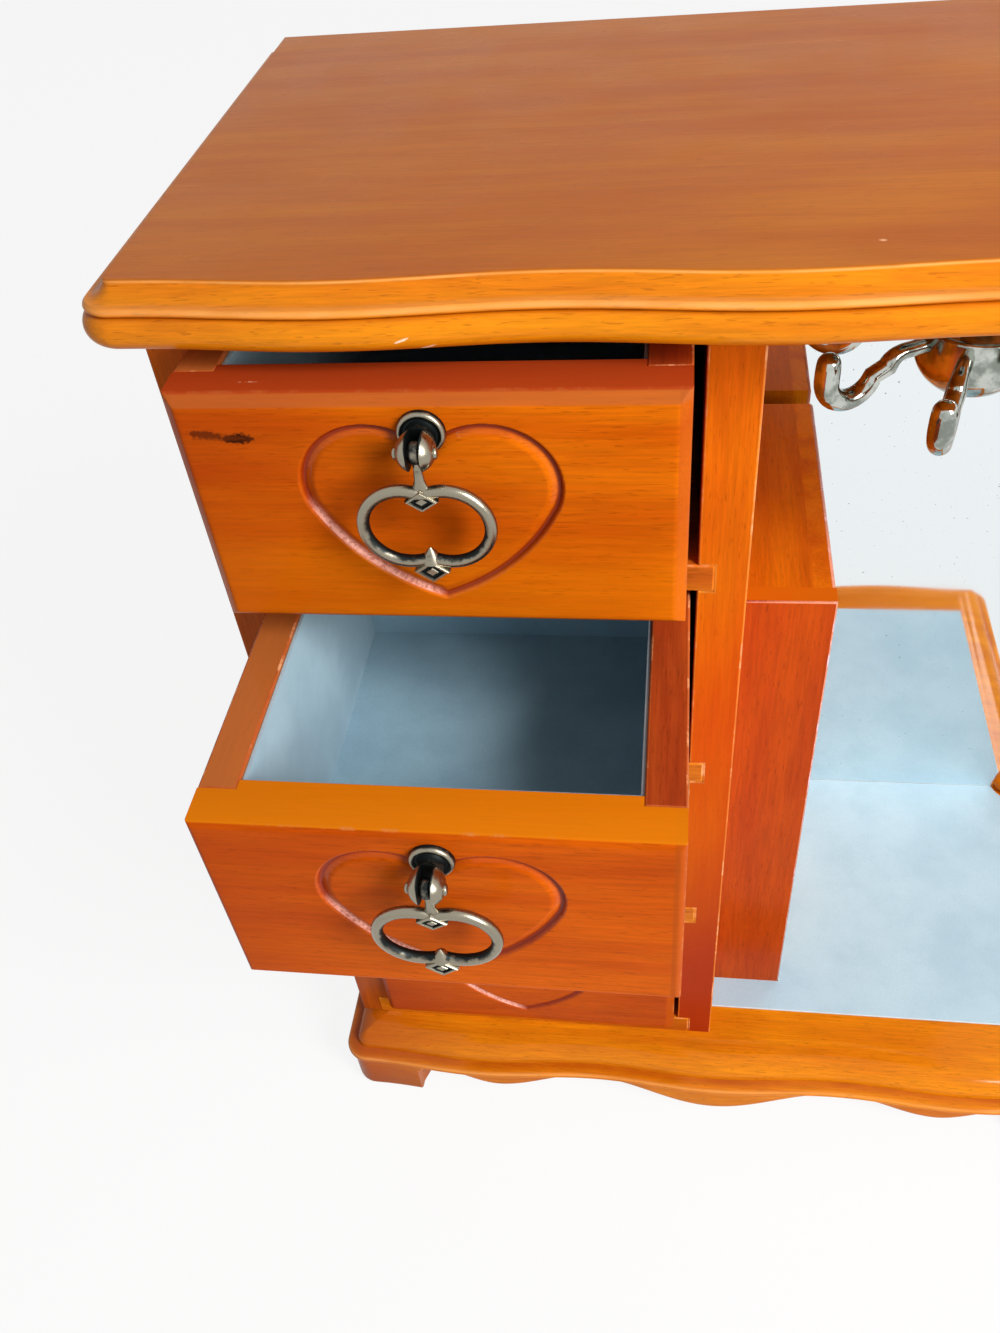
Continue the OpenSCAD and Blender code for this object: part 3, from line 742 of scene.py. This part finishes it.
# Bay lining
# Stiff card with a pale blue flocked face. It was cut to fit the floor of the bay round the foot of
# the housing, and glued down.
def make_flock():
    """Flocked card: soft mottling, and a fine nap for the bump."""
    inputs = {"Vector": "Vector", "Pale": "Color", "Deep": "Color"}
    tree, given, out = effect("flock", inputs, {"Color": "Color", "Height": "Float"})
    cloud = step(noise(given["Vector"], 38, 4, 0.6), 0.3, 0.7)
    nap = noise(given["Vector"], 2600, 2, 0.7)
    colour = mix(cloud, given["Pale"], given["Deep"])
    tree.links.new(scaled(colour, step(nap, 0.2, 0.8, 0.93, 1.06)), out["Color"])
    tree.links.new(nap, out["Height"])
    return tree


flock_group = make_flock()


def flocked(name, pale, deep):
    """The pale blue flocked card."""
    made, tree, place = blank(name)
    inputs = {"Vector": place, "Pale": shade(pale), "Deep": shade(deep)}
    flock = node(tree, "ShaderNodeGroup", inputs, node_tree=flock_group).outputs
    bump = node(tree, "ShaderNodeBump", {"Height": flock["Height"], "Strength": 0.25, "Distance": 0.0002})
    finish = {"Base Color": flock["Color"], "Roughness": 0.85, "Normal": bump.outputs[0]}
    finish.update({"Specular IOR Level": 0.2, "Sheen Weight": 0.35, "Sheen Roughness": 0.5})
    painted(tree, finish)
    return made


bay_card = flocked("bay lining card", "#B6D6E4", "#AACCDC")
card_edge = flocked("lining card edge", "#D4E4EA", "#C4D6DE")
eased_board("bay_lining", "bay_floor_card", bay_card, card_edge, 0.0003, slot="lining")


# Carousel
# A chromed plate under the top board, a spindle that turns in it, a hub with a bowl below, and eight cast
# hooks screwed into the hub. All of it is bright plated metal.
chrome, tree, place = blank("chrome plate")
cloudy = step(noise(place, 160, 3), 0.35, 0.7, 0.05, 0.16)
# The darker blotches in the chrome's colour are painted dark reflections.
tone = mix(step(noise(place, 150, 4, 0.6), 0.4, 0.62), shade("#C2C6BE"), shade("#858B82"))
painted(tree, {"Base Color": tone, "Roughness": cloudy, "Metallic": 1.0})

hub_low, hub_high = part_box("carousel_hub")
plate_low, plate_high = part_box("carousel_plate")
axis_x = (hub_low.x + hub_high.x) / 2
axis_y = (hub_low.y + hub_high.y) / 2
hub_radius = (hub_high.x - hub_low.x) / 2
bowl_top = hub_high.z - 0.008
bowl_deep = bowl_top - hub_low.z
hub_turn = [(hub_radius * sin(t), bowl_top - bowl_deep * cos(t)) for t in np.radians(np.linspace(0, 90, 24))]
hub_turn += [(hub_radius, hub_high.z - 0.0012)]
hub_turn += arc(hub_radius - 0.001, hub_high.z - 0.001, 0.001, 0, 90, 6)
hub_turn += [(0, hub_high.z)]
on_axis = (axis_x, axis_y, 0)
turned("hub_and_bowl", hub_turn, on_axis, 72, chrome, "carousel", "chrome", "carousel_hub")

plate_radius = (plate_high.x - plate_low.x) / 2
bearing_radius = 0.0042
plate_round = 0.0015
plate_turn = [(bearing_radius, plate_high.z), (bearing_radius, plate_low.z)]
plate_turn += arc(plate_radius - plate_round, plate_low.z + plate_round, plate_round, -90, 0, 6)
plate_turn += [(plate_radius, plate_high.z), (bearing_radius, plate_high.z)]
turned("bearing_plate", plate_turn, on_axis, 72, chrome, "case", "chrome", "carousel_plate")

resurfaced("carousel_spindle", chrome)

hook_count = 8
hook_turn = radians(206)
hook_reach = 0.035
hook_bend = 0.0066
hook_drop = 0.0095
socket_deep = 0.005
rod_radius = 0.002
elbow_x = hook_reach - 0.0145
elbow_radius = 0.0045
hook_line = [(x, 0, rod_radius) for x in (hub_radius - socket_deep, hub_radius + 0.001, elbow_x)]
hook_line += [
    (elbow_x + elbow_radius * sin(t), elbow_radius * (cos(t) - 1), rod_radius + 0.0001 * k)
    for k, t in enumerate(np.radians(range(12, 73, 12)))
]
for t in np.radians(np.linspace(195, 360, 20)):
    bend_radius = 0.0024 + 0.0007 * (degrees(t) - 195) / 165
    hook_line.append((hook_reach + hook_bend * cos(t), hook_bend * (1 + sin(t)) - hook_drop, bend_radius))
tip_x = hook_reach + hook_bend
hook_line += [(tip_x, z, r) for z, r in ((-0.0015, 0.0031), (0, 0.0031), (0.0016, 0.003))]
tip_turns = np.radians(range(10, 91, 16))
hook_line += [(tip_x, 0.0022 + 0.0026 * sin(t), 0.0029 * cos(t) + 0.00002) for t in tip_turns]


def hook_tree():
    """Sweeps a round bar along the curve at the curve's own radii, and sets copies of it round the axis."""
    inputs = {
        "Geometry": "Geometry", "Hooks": "Int", "First Turn": "Float", "Sides": "Int", "Finish": "Material"
    }
    tree, given, out = effect("hooks round a hub", inputs, {"Geometry": "Geometry"}, "GeometryNodeTree")
    section = result(tree, "GeometryNodeCurvePrimitiveCircle", {"Resolution": given["Sides"], "Radius": 1.0})
    radius = result(tree, "GeometryNodeInputRadius")
    sweep = {"Curve": given["Geometry"], "Profile Curve": section, "Scale": radius, "Fill Caps": True}
    bar = result(tree, "GeometryNodeCurveToMesh", sweep)
    spots = result(tree, "GeometryNodePoints", {"Count": given["Hooks"]})
    number = result(tree, "GeometryNodeInputIndex")
    angle = combine("DIVIDE", times(number, 2 * pi), given["Hooks"])
    turn = result(tree, "ShaderNodeCombineXYZ", {"Z": combine("ADD", angle, given["First Turn"])})
    copies = result(
        tree, "GeometryNodeInstanceOnPoints", {"Points": spots, "Instance": bar, "Rotation": turn}
    )
    real = result(tree, "GeometryNodeRealizeInstances", {0: copies})
    done = result(tree, "GeometryNodeSetMaterial", {"Geometry": real, "Material": given["Finish"]})
    tree.links.new(done, out[0])
    return tree


def grown(source, tree, settings, name):
    """The plain mesh that a node tree makes of the source object, which is then removed."""
    modifier = source.modifiers.new("grow", "NODES")
    modifier.node_group = tree
    for item in tree.interface.items_tree:
        if item.item_type == "SOCKET" and item.in_out == "INPUT" and item.name in settings:
            modifier[item.identifier] = settings[item.name]
    view = bpy.context.evaluated_depsgraph_get()
    mesh = bpy.data.meshes.new_from_object(source.evaluated_get(view))
    mesh.name = name
    bpy.data.objects.remove(source)
    return placed(name, mesh)


wire = bpy.data.curves.new("hook line", "CURVE")
wire.dimensions = "3D"
spline = wire.splines.new("POLY")
spline.points.add(len(hook_line) - 1)
for point, (out, up, radius) in zip(spline.points, hook_line):
    point.co = (out, 0, up, 1)
    point.radius = radius
hook_settings = {"Hooks": hook_count, "First Turn": hook_turn, "Sides": 24, "Finish": chrome}
hooks = grown(placed("hook line", wire), hook_tree(), hook_settings, "cast_hooks")
hook_arm_z = hub_high.z - 0.004
hooks.data.transform(Matrix.Translation((axis_x, axis_y, hook_arm_z)))
smooth(hooks.data, 50)
stand_for(hooks, "carousel", "chrome", "carousel_hooks")


# Drawer fronts
# Solid boards with a bevel round the face, the grain across, and a heart cut into the middle with a round
# cutter. The lacquer pooled dark in the cut, which painted shade darkens further, and a painted glint lies
# along the lower left of the cut. The lacquer has chipped along the outer edges of the bevel.
heart_wide = 0.054
heart_high = 0.044
heart_rise = 0.0016
cut_wide = 0.0023
cut_deep = 0.0012
bevels = {1: 0.0024, 2: 0.001, 3: 0.0024, 4: 0.0024}
rebate = 0.003
side_wall = 0.009
fine = 0.00026
coarse = 0.003
heart_margin = 0.0015
soft_arris = 0.0003
rim_round = 0.0003
rim_fall = 0.00012
worn_rim = 0.00025


def heart_tree():
    """Presses a groove along a heart, steep outside and gentle inside, and stores how deep each point is."""
    inputs = {"Geometry": "Geometry", "Middle": "Vector"}
    inputs.update(dict.fromkeys(("Width", "Height", "Groove Width", "Groove Depth"), "Float"))
    inputs.update(dict.fromkeys(("Finish", "Cut Finish", "Edge Finish"), "Material"))
    tree, given, out = effect("heart groove", inputs, {"Geometry": "Geometry"}, "GeometryNodeTree")

    def arc_of_heart(centre, radius, start, sweep):
        """One arc of a heart 54.4 wide and 45.75 high, its angles in degrees, moved to its centre."""
        inputs = {"Resolution": 90, "Radius": radius, "Start Angle": radians(start)}
        inputs["Sweep Angle"] = radians(sweep)
        bend = result(tree, "GeometryNodeCurveArc", inputs, mode="RADIUS")
        return result(tree, "GeometryNodeTransform", {"Geometry": bend, "Translation": centre + (0,)})

    lobe = arc_of_heart((12.2, 7), 15, -25, 169.4)
    flank = arc_of_heart((-18.2, 21.2), 48.5, -67.96, 42.96)
    half = node(tree, "GeometryNodeJoinGeometry")
    both = node(tree, "GeometryNodeJoinGeometry")
    for piece in (lobe, flank):
        tree.links.new(piece, half.inputs[0])
    other = result(tree, "GeometryNodeTransform", {"Geometry": half.outputs[0], "Scale": (-1, 1, 1)})
    for piece in (half.outputs[0], other):
        tree.links.new(piece, both.inputs[0])
    wide = combine("DIVIDE", given["Width"], 54.4)
    high = combine("DIVIDE", given["Height"], 45.75)
    placing = {
        "Geometry": both.outputs[0],
        "Translation": given["Middle"],
        "Rotation": (pi / 2, 0, 0),
        "Scale": result(tree, "ShaderNodeCombineXYZ", {"X": wide, "Y": high, "Z": 1.0}),
    }
    heart = result(tree, "GeometryNodeTransform", placing)
    line = result(tree, "GeometryNodeCurveToMesh", {"Curve": heart})
    near = node(tree, "GeometryNodeProximity", {0: line}, target_element="EDGES").outputs
    here = result(tree, "GeometryNodeInputPosition")
    away = vectors("SUBTRACT", here, near["Position"])[0]
    inward = vectors("SUBTRACT", given["Middle"], near["Position"])[0]
    facing = vectors("DOT_PRODUCT", away, inward)["Value"]
    within = combine("GREATER_THAN", facing, 0.0)
    reach = times(given["Groove Width"], combine("ADD", 0.38, times(within, 0.85)))
    share = combine("MINIMUM", combine("DIVIDE", near["Distance"], reach), 1.0)
    steep = combine("SUBTRACT", 1.0, combine("POWER", share, 1.25))
    gentle = combine("POWER", combine("SUBTRACT", 1.0, share), 2.0)
    gentle = times(gentle, combine("ADD", times(share, 2.0), 1.0))
    change = times(within, combine("SUBTRACT", gentle, steep))
    inside = combine("ADD", steep, change)
    push = result(tree, "ShaderNodeCombineXYZ", {"Y": times(inside, given["Groove Depth"])})
    # How dark the cut is painted: pooled lacquer and painted shade, mostly on the steep outer wall.
    pooled_and_shade = combine("POWER", inside, combine("ADD", 1.0, times(within, 3.0)))
    store = {"Geometry": given["Geometry"], "Name": "groove", "Value": pooled_and_shade}
    kept = result(tree, "GeometryNodeStoreNamedAttribute", store, data_type="FLOAT", domain="POINT")
    pressed = result(tree, "GeometryNodeSetPosition", {"Geometry": kept, "Offset": push})
    real = result(tree, "GeometryNodeRealizeInstances", {0: pressed})
    edge = result(tree, "GeometryNodeInputNamedAttribute", {"Name": "edge"}, data_type="BOOLEAN")
    cut = result(tree, "GeometryNodeInputNamedAttribute", {"Name": "groove"}, data_type="FLOAT")
    cut = result(tree, "FunctionNodeCompare", {0: cut, 1: 0.02}, data_type="FLOAT", operation="GREATER_THAN")
    done = result(tree, "GeometryNodeSetMaterial", {"Geometry": real, "Material": given["Finish"]})
    for where, finish in ((cut, "Cut Finish"), (edge, "Edge Finish")):
        choice = {"Geometry": done, "Selection": where, "Material": given[finish]}
        done = result(tree, "GeometryNodeSetMaterial", choice)
    tree.links.new(done, out[0])
    return tree


def spread(length, zone):
    """Grid lines across a face of that length: close together at the bevels and in the middle zone."""
    rim = [0, 0.0001, 0.0002, 0.0004, 0.0007, 0.0011, 0.0015, 0.0018, 0.002, 0.0023, 0.0027, 0.0034]
    flat = length / 2 - zone - rim[-1]
    gap = flat / max(round(flat / coarse), 1)
    outer = rim + list(np.arange(rim[-1] + gap, length / 2 - zone - gap / 2, gap))
    count = ceil(2 * zone / fine)
    middle = list(np.linspace(length / 2 - zone, length / 2 + zone, count + 1))
    return np.array(outer + middle + [length - x for x in reversed(outer)])


def front_board(name, low, high, bevel):
    """A drawer front without its heart: a bevelled face on a fine grid, and plain ends, edges and back."""
    width = high.x - low.x
    tall = high.z - low.z
    back = high.y - low.y - rebate
    xs = spread(width, heart_wide / 2 + heart_margin)
    zs = spread(tall, heart_high / 2 + heart_rise + heart_margin)
    gx, gz = np.meshgrid(xs, zs, indexing="ij")
    rim = np.minimum(np.minimum(gx, width - gx), np.minimum(gz, tall - gz))
    slope = bevel - rim
    depth = (slope + np.sqrt(slope**2 + soft_arris**2)) / 2 + rim_round * np.exp(-rim / rim_fall)
    points = np.stack([low.x + gx, low.y + depth, low.z + gz], -1).reshape(-1, 3).tolist()
    ids = np.arange(gx.size).reshape(gx.shape)
    faces = np.stack([ids[:-1, :-1], ids[1:, :-1], ids[1:, 1:], ids[:-1, 1:]], -1).reshape(-1, 4).tolist()
    wear_or_sheen = rim < worn_rim
    edge = (wear_or_sheen[:-1, :-1] | wear_or_sheen[1:, 1:]).reshape(-1).tolist()
    loop = np.concatenate([ids[:, 0], ids[-1, 1:], ids[-2::-1, -1], ids[0, -2:0:-1]]).tolist()
    behind = len(points)
    points += [(points[k][0], low.y + back, points[k][2]) for k in loop]
    for k in range(len(loop)):
        m = (k + 1) % len(loop)
        faces.append((loop[k], behind + k, behind + m, loop[m]))
    faces.append(tuple(behind + k for k in range(len(loop))))
    tongue = len(points)
    ease = 0.0004
    section = [(low.y + back, low.z), (high.y - ease, low.z), (high.y, low.z + ease)]
    section += [(high.y, high.z - ease), (high.y - ease, high.z), (low.y + back, high.z)]
    points += [(x, y, z) for x in (low.x + side_wall, high.x - side_wall) for y, z in section]
    count = len(section)
    faces += [tuple(tongue + i for i in face) for face in walls(2, count)]
    faces.append(tuple(tongue + k for k in range(count - 1, -1, -1)))
    faces.append(tuple(tongue + count + k for k in range(count)))
    edge += [False] * (len(faces) - len(edge))
    board = make(name, points, faces, [], sharp=40, closed=False)
    cleaned(board.data, merge=False)
    mask = board.data.attributes.new("edge", "BOOLEAN", "FACE")
    mask.data.foreach_set("value", edge)
    return board


heart_nodes = heart_tree()
front_tones = {
    1: ("#D86A06", "#C65404", "#B24008", 0.55),
    2: ("#D05C06", "#C04C06", "#AC3C08", 0.55),
    3: ("#D86406", "#C25008", "#A83C0C", 0.6),
    4: ("#C8560A", "#B8480A", "#A43A0C", 0.7),
}
knots = (
    ((-0.1078, -0.0494, 0.3108), (0.0042, 0.003, 0.0015), 0.05, "#2C1206", 0.95),
    ((-0.1142, -0.0494, 0.3118), (0.0048, 0.003, 0.0011), -0.08, "#4A1C08", 0.75),
    ((-0.1110, -0.0494, 0.3109), (0.0070, 0.003, 0.0007), 0.0, "#6A2A0A", 0.6),
    ((-0.1045, -0.0436, 0.3220), (0.0036, 0.0004, 0.002), 0.0, "#F4B090", 0.8),
    ((-0.1205, -0.0494, 0.3216), (0.0012, 0.002, 0.0004), 0.2, "#F0A070", 0.7),
)
for n in (1, 2, 3, 4):
    tones = front_tones[n]
    low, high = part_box(f"drawer_{n}_front")
    top = high.z
    # Painted light and shade: every front darkens towards the left end and on its right bevel. Drawer 1 is
    # painted lighter lower down, browner on its top bevel and darker red along its top edge; drawer 2 is
    # painted lighter along its top edge.
    fades = (
        ("X", -0.075, -0.125, "#A83A08", 0.5),
        ("X", high.x - 0.0027, high.x - 0.0022, "#AC4C10", 0.65),
    )
    if n == 1:
        fades += (
            ("Z", top - 0.02, top - 0.06, "#E8780A", 0.4),
            ("Z", top - 0.0028, top - 0.0022, "#B05C2C", 0.65),
            ("Z", top - 0.0006, top - 0.0002, "#A83A14", 0.9),
        )
    if n == 2:
        fades += (("Z", top - 0.0004, top - 0.0001, "#E0800C", 0.75),)
    middle = Vector(((low.x + high.x) / 2, low.y, (low.z + high.z) / 2 + heart_rise))
    common = {"shift": 0.13 * n, "fades": fades}
    face = {"marks": knots if n == 1 else (), "haze": 0.02, "coat": 0.02}
    # The groove finish carries a painted glint along the lower left of the heart.
    groove = {"rubbed_and_glint": (middle, "#F6B29E"), "haze": 0.03, "coat": 0.3}
    chips = {"wear_or_sheen": "#D07C40" if n > 1 else "#B45828", "haze": 0.02, "coat": 0.02}
    settings = {
        "Middle": middle,
        "Width": heart_wide,
        "Height": heart_high,
        "Groove Width": cut_wide,
        "Groove Depth": cut_deep,
        "Finish": lacquer(f"front {n} lacquer", *tones, **common, **face),
        "Cut Finish": lacquer(f"front {n} groove lacquer", *tones, **common, **groove),
        "Edge Finish": lacquer(f"front {n} chipped edge", *tones, **common, **chips),
    }
    plain = front_board(f"front {n} blank", low, high, bevels[n])
    board = grown(plain, heart_nodes, settings, f"drawer_{n}_face")
    smooth(board.data, 40)
    stand_for(board, f"drawer_{n}", "wood", f"drawer_{n}_front")


# Drawer boxes
# Sides and back of plain boards under a darker lacquer. The sides are let into the front, and a thin bottom
# is held in grooves all round.
# Painted highlight: the drawer sides grow lighter towards the left, as glare.
side_painted_glare = (("X", -0.09, -0.11, "#C87838", 0.6),)
side_wood = lacquer("drawer side lacquer", "#B8501C", "#A03C18", "#8C2C14", 0.5, "y", 0.21, fades=side_painted_glare)
side_edge = lacquer(
    "drawer side edge", "#CC6830", "#B85426", "#A04020", 0.4, along="y", shift=0.21, wear_or_sheen=pale_edge
)
rear_wood = lacquer("drawer back lacquer", "#A84818", "#903814", "#7C2C12", 0.5, shift=0.43)
floor_wood = lacquer("drawer bottom lacquer", "#B86020", "#A04C18", "#883A14", 0.4, along="y", shift=0.57)
box_parts = (
    ("left", "left_side", side_wood, side_edge, 0.0005),
    ("right", "right_side", side_wood, side_edge, 0.0005),
    ("back", "rear", rear_wood, side_edge, 0.0005),
    ("bottom", "floor", floor_wood, None, 0.0003),
)
for n in (1, 2, 3, 4):
    for part, label, wood, wear_or_sheen, ease in box_parts:
        eased_board(f"drawer_{n}_{part}", f"drawer_{n}_{label}", wood, wear_or_sheen, ease, f"drawer_{n}")


# Drawer linings
# The same flocked card as in the bay, in a darker blue. One sheet is folded up the four walls of each drawer
# and ends a little short of their tops.
drawer_card = flocked("drawer lining card", "#A4C4D2", "#94B4C4")
drawer_card_edge = flocked("drawer card edge", "#B4C8D2", "#A0B6C2")
for n in (1, 2, 3, 4):
    lining = (f"drawer_{n}_lining", f"drawer_{n}_card", drawer_card, drawer_card_edge)
    eased_board(*lining, 0.00025, f"drawer_{n}", "lining")


# Pulls
# Cast in zinc with an antique pewter finish: rubbed bright on the high parts and left dark in the hollows.
# A forked post stands on a round flange, a riveted pin goes through the fork and the drop ring swings on it.
def pewter(name, bright, dark, dark_share):
    """Antique pewter, darker where the patina attribute is high: in hollows, and as painted shade on the
    ring.
    """
    made, tree, place = blank(name)
    hollow = node(tree, "ShaderNodeAttribute", None, attribute_name="patina").outputs["Fac"]
    blotch = noise(place, 420, 4, 0.65)
    stain = combine("ADD", times(hollow, 0.55), times(blotch, 0.6))
    mask = step(stain, dark_share, dark_share + 0.22)
    tone = mix(mask, shade(bright), shade(dark))
    rough = step(stain, 0.2, 0.8, 0.24, 0.55)
    bump = node(tree, "ShaderNodeBump", {"Height": blotch, "Strength": 0.25, "Distance": 0.0002})
    painted(tree, {"Base Color": tone, "Roughness": rough, "Metallic": 1.0, "Normal": bump.outputs[0]})
    return made


rubbed_and_glint = pewter("rubbed pewter", "#97907F", "#262A2A", 0.42)
hollow_dark = pewter("dark pewter", "#4A4C48", "#161816", 0.3)
fork_gap = 0.0028
barrel = 0.0041
pin_reach = 0.0075
ring_drop = 0.018
lobe = 0.009
lobe_off = 0.0043
rod = 0.00135
cusp = sqrt(lobe**2 - lobe_off**2)
cusp_turn = atan2(cusp, -lobe_off)


def join(parts):
    """Several (points, faces, patina, slot) parts as one list of each."""
    points, faces, patina, slots = [], [], [], []
    for some_points, some_faces, some_patina, slot in parts:
        start = len(points)
        points += [tuple(p) for p in some_points]
        faces += [tuple(start + i for i in f) for f in some_faces]
        patina += list(some_patina)
        slots += [slot] * len(some_faces)
    return points, faces, patina, slots


def swept(line, radii, sides=20, inner=None, depth=None):
    """A bar along a line in XZ, round or of one depth, darker where it faces inner: patina and painted shade.
    """
    points, patina = [], []
    count = len(line)
    for k, (x, z) in enumerate(line):
        (x0, z0), (x1, z1) = line[max(k - 1, 0)], line[min(k + 1, count - 1)]
        length = hypot(x1 - x0, z1 - z0)
        nx, nz = -(z1 - z0) / length, (x1 - x0) / length
        for i in range(sides):
            t = 2 * pi * i / sides
            out, ahead = radii[k] * cos(t), (depth or radii[k]) * sin(t)
            points.append((x + nx * out, ahead, z + nz * out))
            if inner is None:
                patina.append(0.2)
            else:
                toward = Vector((inner[0] - x, inner[1] - z)).normalized().dot((nx * cos(t), nz * cos(t)))
                # The back of the bar, towards the drawer front, is darker too, as painted shade.
                patina.append(max(toward, 0) * 0.8 + 0.25 * (sin(t) > 0.3))
    ends = [tuple(range(sides)), tuple(range((count - 1) * sides, count * sides))]
    faces = walls(count, sides) + ends
    return points, faces, patina, 0


def diamond(centre_z, wide, high):
    """A four-sided boss: a bright rim, a dark sunk field and a small raised point in the middle."""
    fore = -rod - 0.0003
    levels = [(0.86, rod + 0.0002), (1.0, rod - 0.0004), (1.0, fore + 0.0003), (0.9, fore), (0.74, fore)]
    levels += [(0.66, fore + 0.0006), (0.42, fore + 0.0006), (0.3, fore + 0.0001)]
    points = []
    for scale, y in levels:
        wide_half, high_half = scale * wide / 2, scale * high / 2
        points += [(-wide_half, y, centre_z), (0, y, centre_z - high_half)]
        points += [(wide_half, y, centre_z), (0, y, centre_z + high_half)]
    tone = (0.6, 0.3, 0.1, 0, 0, 1.2, 1.2, 0.1)
    patina = [value for value in tone for _ in range(4)]
    last = (len(levels) - 1) * 4
    faces = walls(len(levels), 4) + [(3, 2, 1, 0), tuple(range(last, last + 4))]
    return points, faces, patina, 0


def lathe(profile, matrix, tones, steps=40):
    """A turned part under a matrix, with one patina value for each point of the profile."""
    points, faces = revolved(profile, steps)
    return moved(points, matrix), faces, [tone for tone in tones for _ in range(steps)], 0


def metal(name, parts, place, body, replaced, rounding=None):
    """One cast piece of a pull, moved to its pin, with its patina stored and its edges rounded."""
    points, faces, patina, slots = join(parts)
    piece = make(name, moved(points, place), faces, [rubbed_and_glint, hollow_dark], slots, sharp=45, closed=False)
    wear_or_sheen = piece.data.attributes.new("patina", "FLOAT", "POINT")
    wear_or_sheen.data.foreach_set("value", patina)
    cleaned(piece.data)
    if rounding:
        edges = piece.modifiers.new("rounded", "BEVEL")
        edges.width = rounding
        edges.segments = 3
        edges.limit_method = "ANGLE"
        edges.angle_limit = radians(50)
        edges.harden_normals = True
    return stand_for(piece, body, "pewter", replaced)


def cheek(side, reaches, radii):
    """One half of the slotted barrel: at each reach, the part of its circle beyond the slot."""
    bend = 14
    points, patina = [], []
    for reach_out, radius in zip(reaches, radii):
        open_angle = acos(min(fork_gap / 2 / radius, 0.995))
        for t in np.linspace(-open_angle, open_angle, bend):
            points.append((side * radius * cos(t), pin_reach - reach_out, radius * sin(t)))
            at_slot = abs(abs(t) - open_angle) < 0.01
            patina.append(0.9 if at_slot else max(0.0, 0.8 - 600 * (reach_out - 0.0034)))
    last = (len(reaches) - 1) * bend
    faces = walls(len(reaches), bend) + [tuple(range(bend)), tuple(range(last, last + bend))]
    return points, faces, patina, 0


def millimetres(profile):
    """The profile in metres."""
    return [(r * 0.001, z * 0.001) for r, z in profile]


facing = Matrix.Rotation(pi / 2, 4, "X")
flange_turn = [
    (0, 0), (5, 0), (5, 0.7), (4.88, 1.2), (4.6, 1.52), (4.3, 1.6), (4.05, 1.5), (3.85, 1.15), (3.55, 1.0)
]
flange_turn += [(3.2, 1.1), (2.98, 1.5), (2.85, 2.2), (2.95, 3.0), (3.25, 3.6), (3.35, 3.9), (0, 3.95)]
flange_tones = (0.5, 0.7, 0.6, 0.2, 0.1, 0.3, 0.7, 1.2, 1.3, 1.2, 0.9, 0.6, 0.5, 0.5, 1.0, 1.2)
neck_reach = 0.0029
neck_radius = 0.0029
neck_deep = 0.0042
nose_reach = 0.0071
nose_deep = 0.0041
swell = np.linspace(0, 1, 9)
barrel_reach = list(neck_reach + neck_deep * swell)[1:]
barrel_radii = list(neck_radius + (barrel - neck_radius) * np.sin(swell * pi / 2))[1:]
nose_turns = np.radians(np.linspace(0, 68, 10))[1:]
barrel_reach += list(nose_reach + nose_deep * np.sin(nose_turns))
barrel_radii += list(barrel * np.cos(nose_turns))
lobe_turns = np.linspace(-cusp_turn, cusp_turn, 60)
ring_line = [(lobe_off + lobe * cos(t), lobe * sin(t) - ring_drop) for t in lobe_turns]
stem_line = [(0, -0.0018), (0, -0.0041), (0, -0.0065), (0, -0.0084), (0, cusp - ring_drop + 0.0003)]
stem_radii = [0.0009, 0.0009, 0.0011, 0.0017, 0.0028]
eye_turn = [(1.06, -1.1), (1.9, -1.1), (2.2, -0.85), (2.3, -0.5), (2.3, 0.5), (2.2, 0.85), (1.9, 1.1)]
eye_turn += [(1.06, 1.1), (1.06, -1.1)]
rivet_turn = millimetres([(0, -0.4), (1.2, -0.4), (1.25, 0), (1.1, 0.25), (0.7, 0.42), (0, 0.48)])
rivet_tones = (0.4, 0.5, 0.1, 0, 0, 0)
tip_line = [(0, -ring_drop - cusp + z) for z in (-0.001, 0.0012, 0.0026)]
sideways = Matrix.Rotation(pi / 2, 4, "Y")
for n in (1, 2, 3, 4):
    pin_low, pin_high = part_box(f"drawer_{n}_pull_pin")
    at_pin = Matrix.Translation((pin_low + pin_high) / 2)
    post_parts = [
        lathe(millimetres(flange_turn), Matrix.Translation((0, pin_reach, 0)) @ facing, flange_tones),
        cheek(-1, barrel_reach, barrel_radii),
        cheek(1, barrel_reach, barrel_radii),
    ]
    metal(f"pull_{n}_post", post_parts, at_pin, f"drawer_{n}", f"drawer_{n}_pull_post", 0.0004)
    rivets = [
        lathe([(0, -barrel), (0.001, -barrel), (0.001, barrel), (0, barrel)], sideways, (0.6,) * 4),
        lathe(rivet_turn, Matrix.Translation((barrel, 0, 0)) @ sideways, rivet_tones),
        lathe(rivet_turn, Matrix.Translation((-barrel, 0, 0)) @ sideways.inverted(), rivet_tones),
    ]
    metal(f"pull_{n}_pin", rivets, at_pin, f"drawer_{n}", f"drawer_{n}_pull_pin")
    if f"drawer_{n}_pull_ring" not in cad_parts:
        continue
    ring_parts = [
        lathe(millimetres(eye_turn), sideways, (0.5,) * len(eye_turn)),
        swept(stem_line, stem_radii, depth=0.0009),
        swept(ring_line, [rod] * len(ring_line), inner=(0, -ring_drop)),
        swept([(-x, z) for x, z in ring_line], [rod] * len(ring_line), inner=(0, -ring_drop)),
        swept(tip_line, [0.002, 0.0013, 0.0002]),
        diamond(cusp - ring_drop - 0.0007, 0.007, 0.0048),
        diamond(-ring_drop - lobe - rod - 0.0005, 0.0077, 0.0058),
    ]
    metal(f"pull_{n}_ring", ring_parts, at_pin, f"ring_{n}", f"drawer_{n}_pull_ring")


# Size
# How much room the finished box takes up. The plain solids' room was found at the start.
low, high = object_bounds()
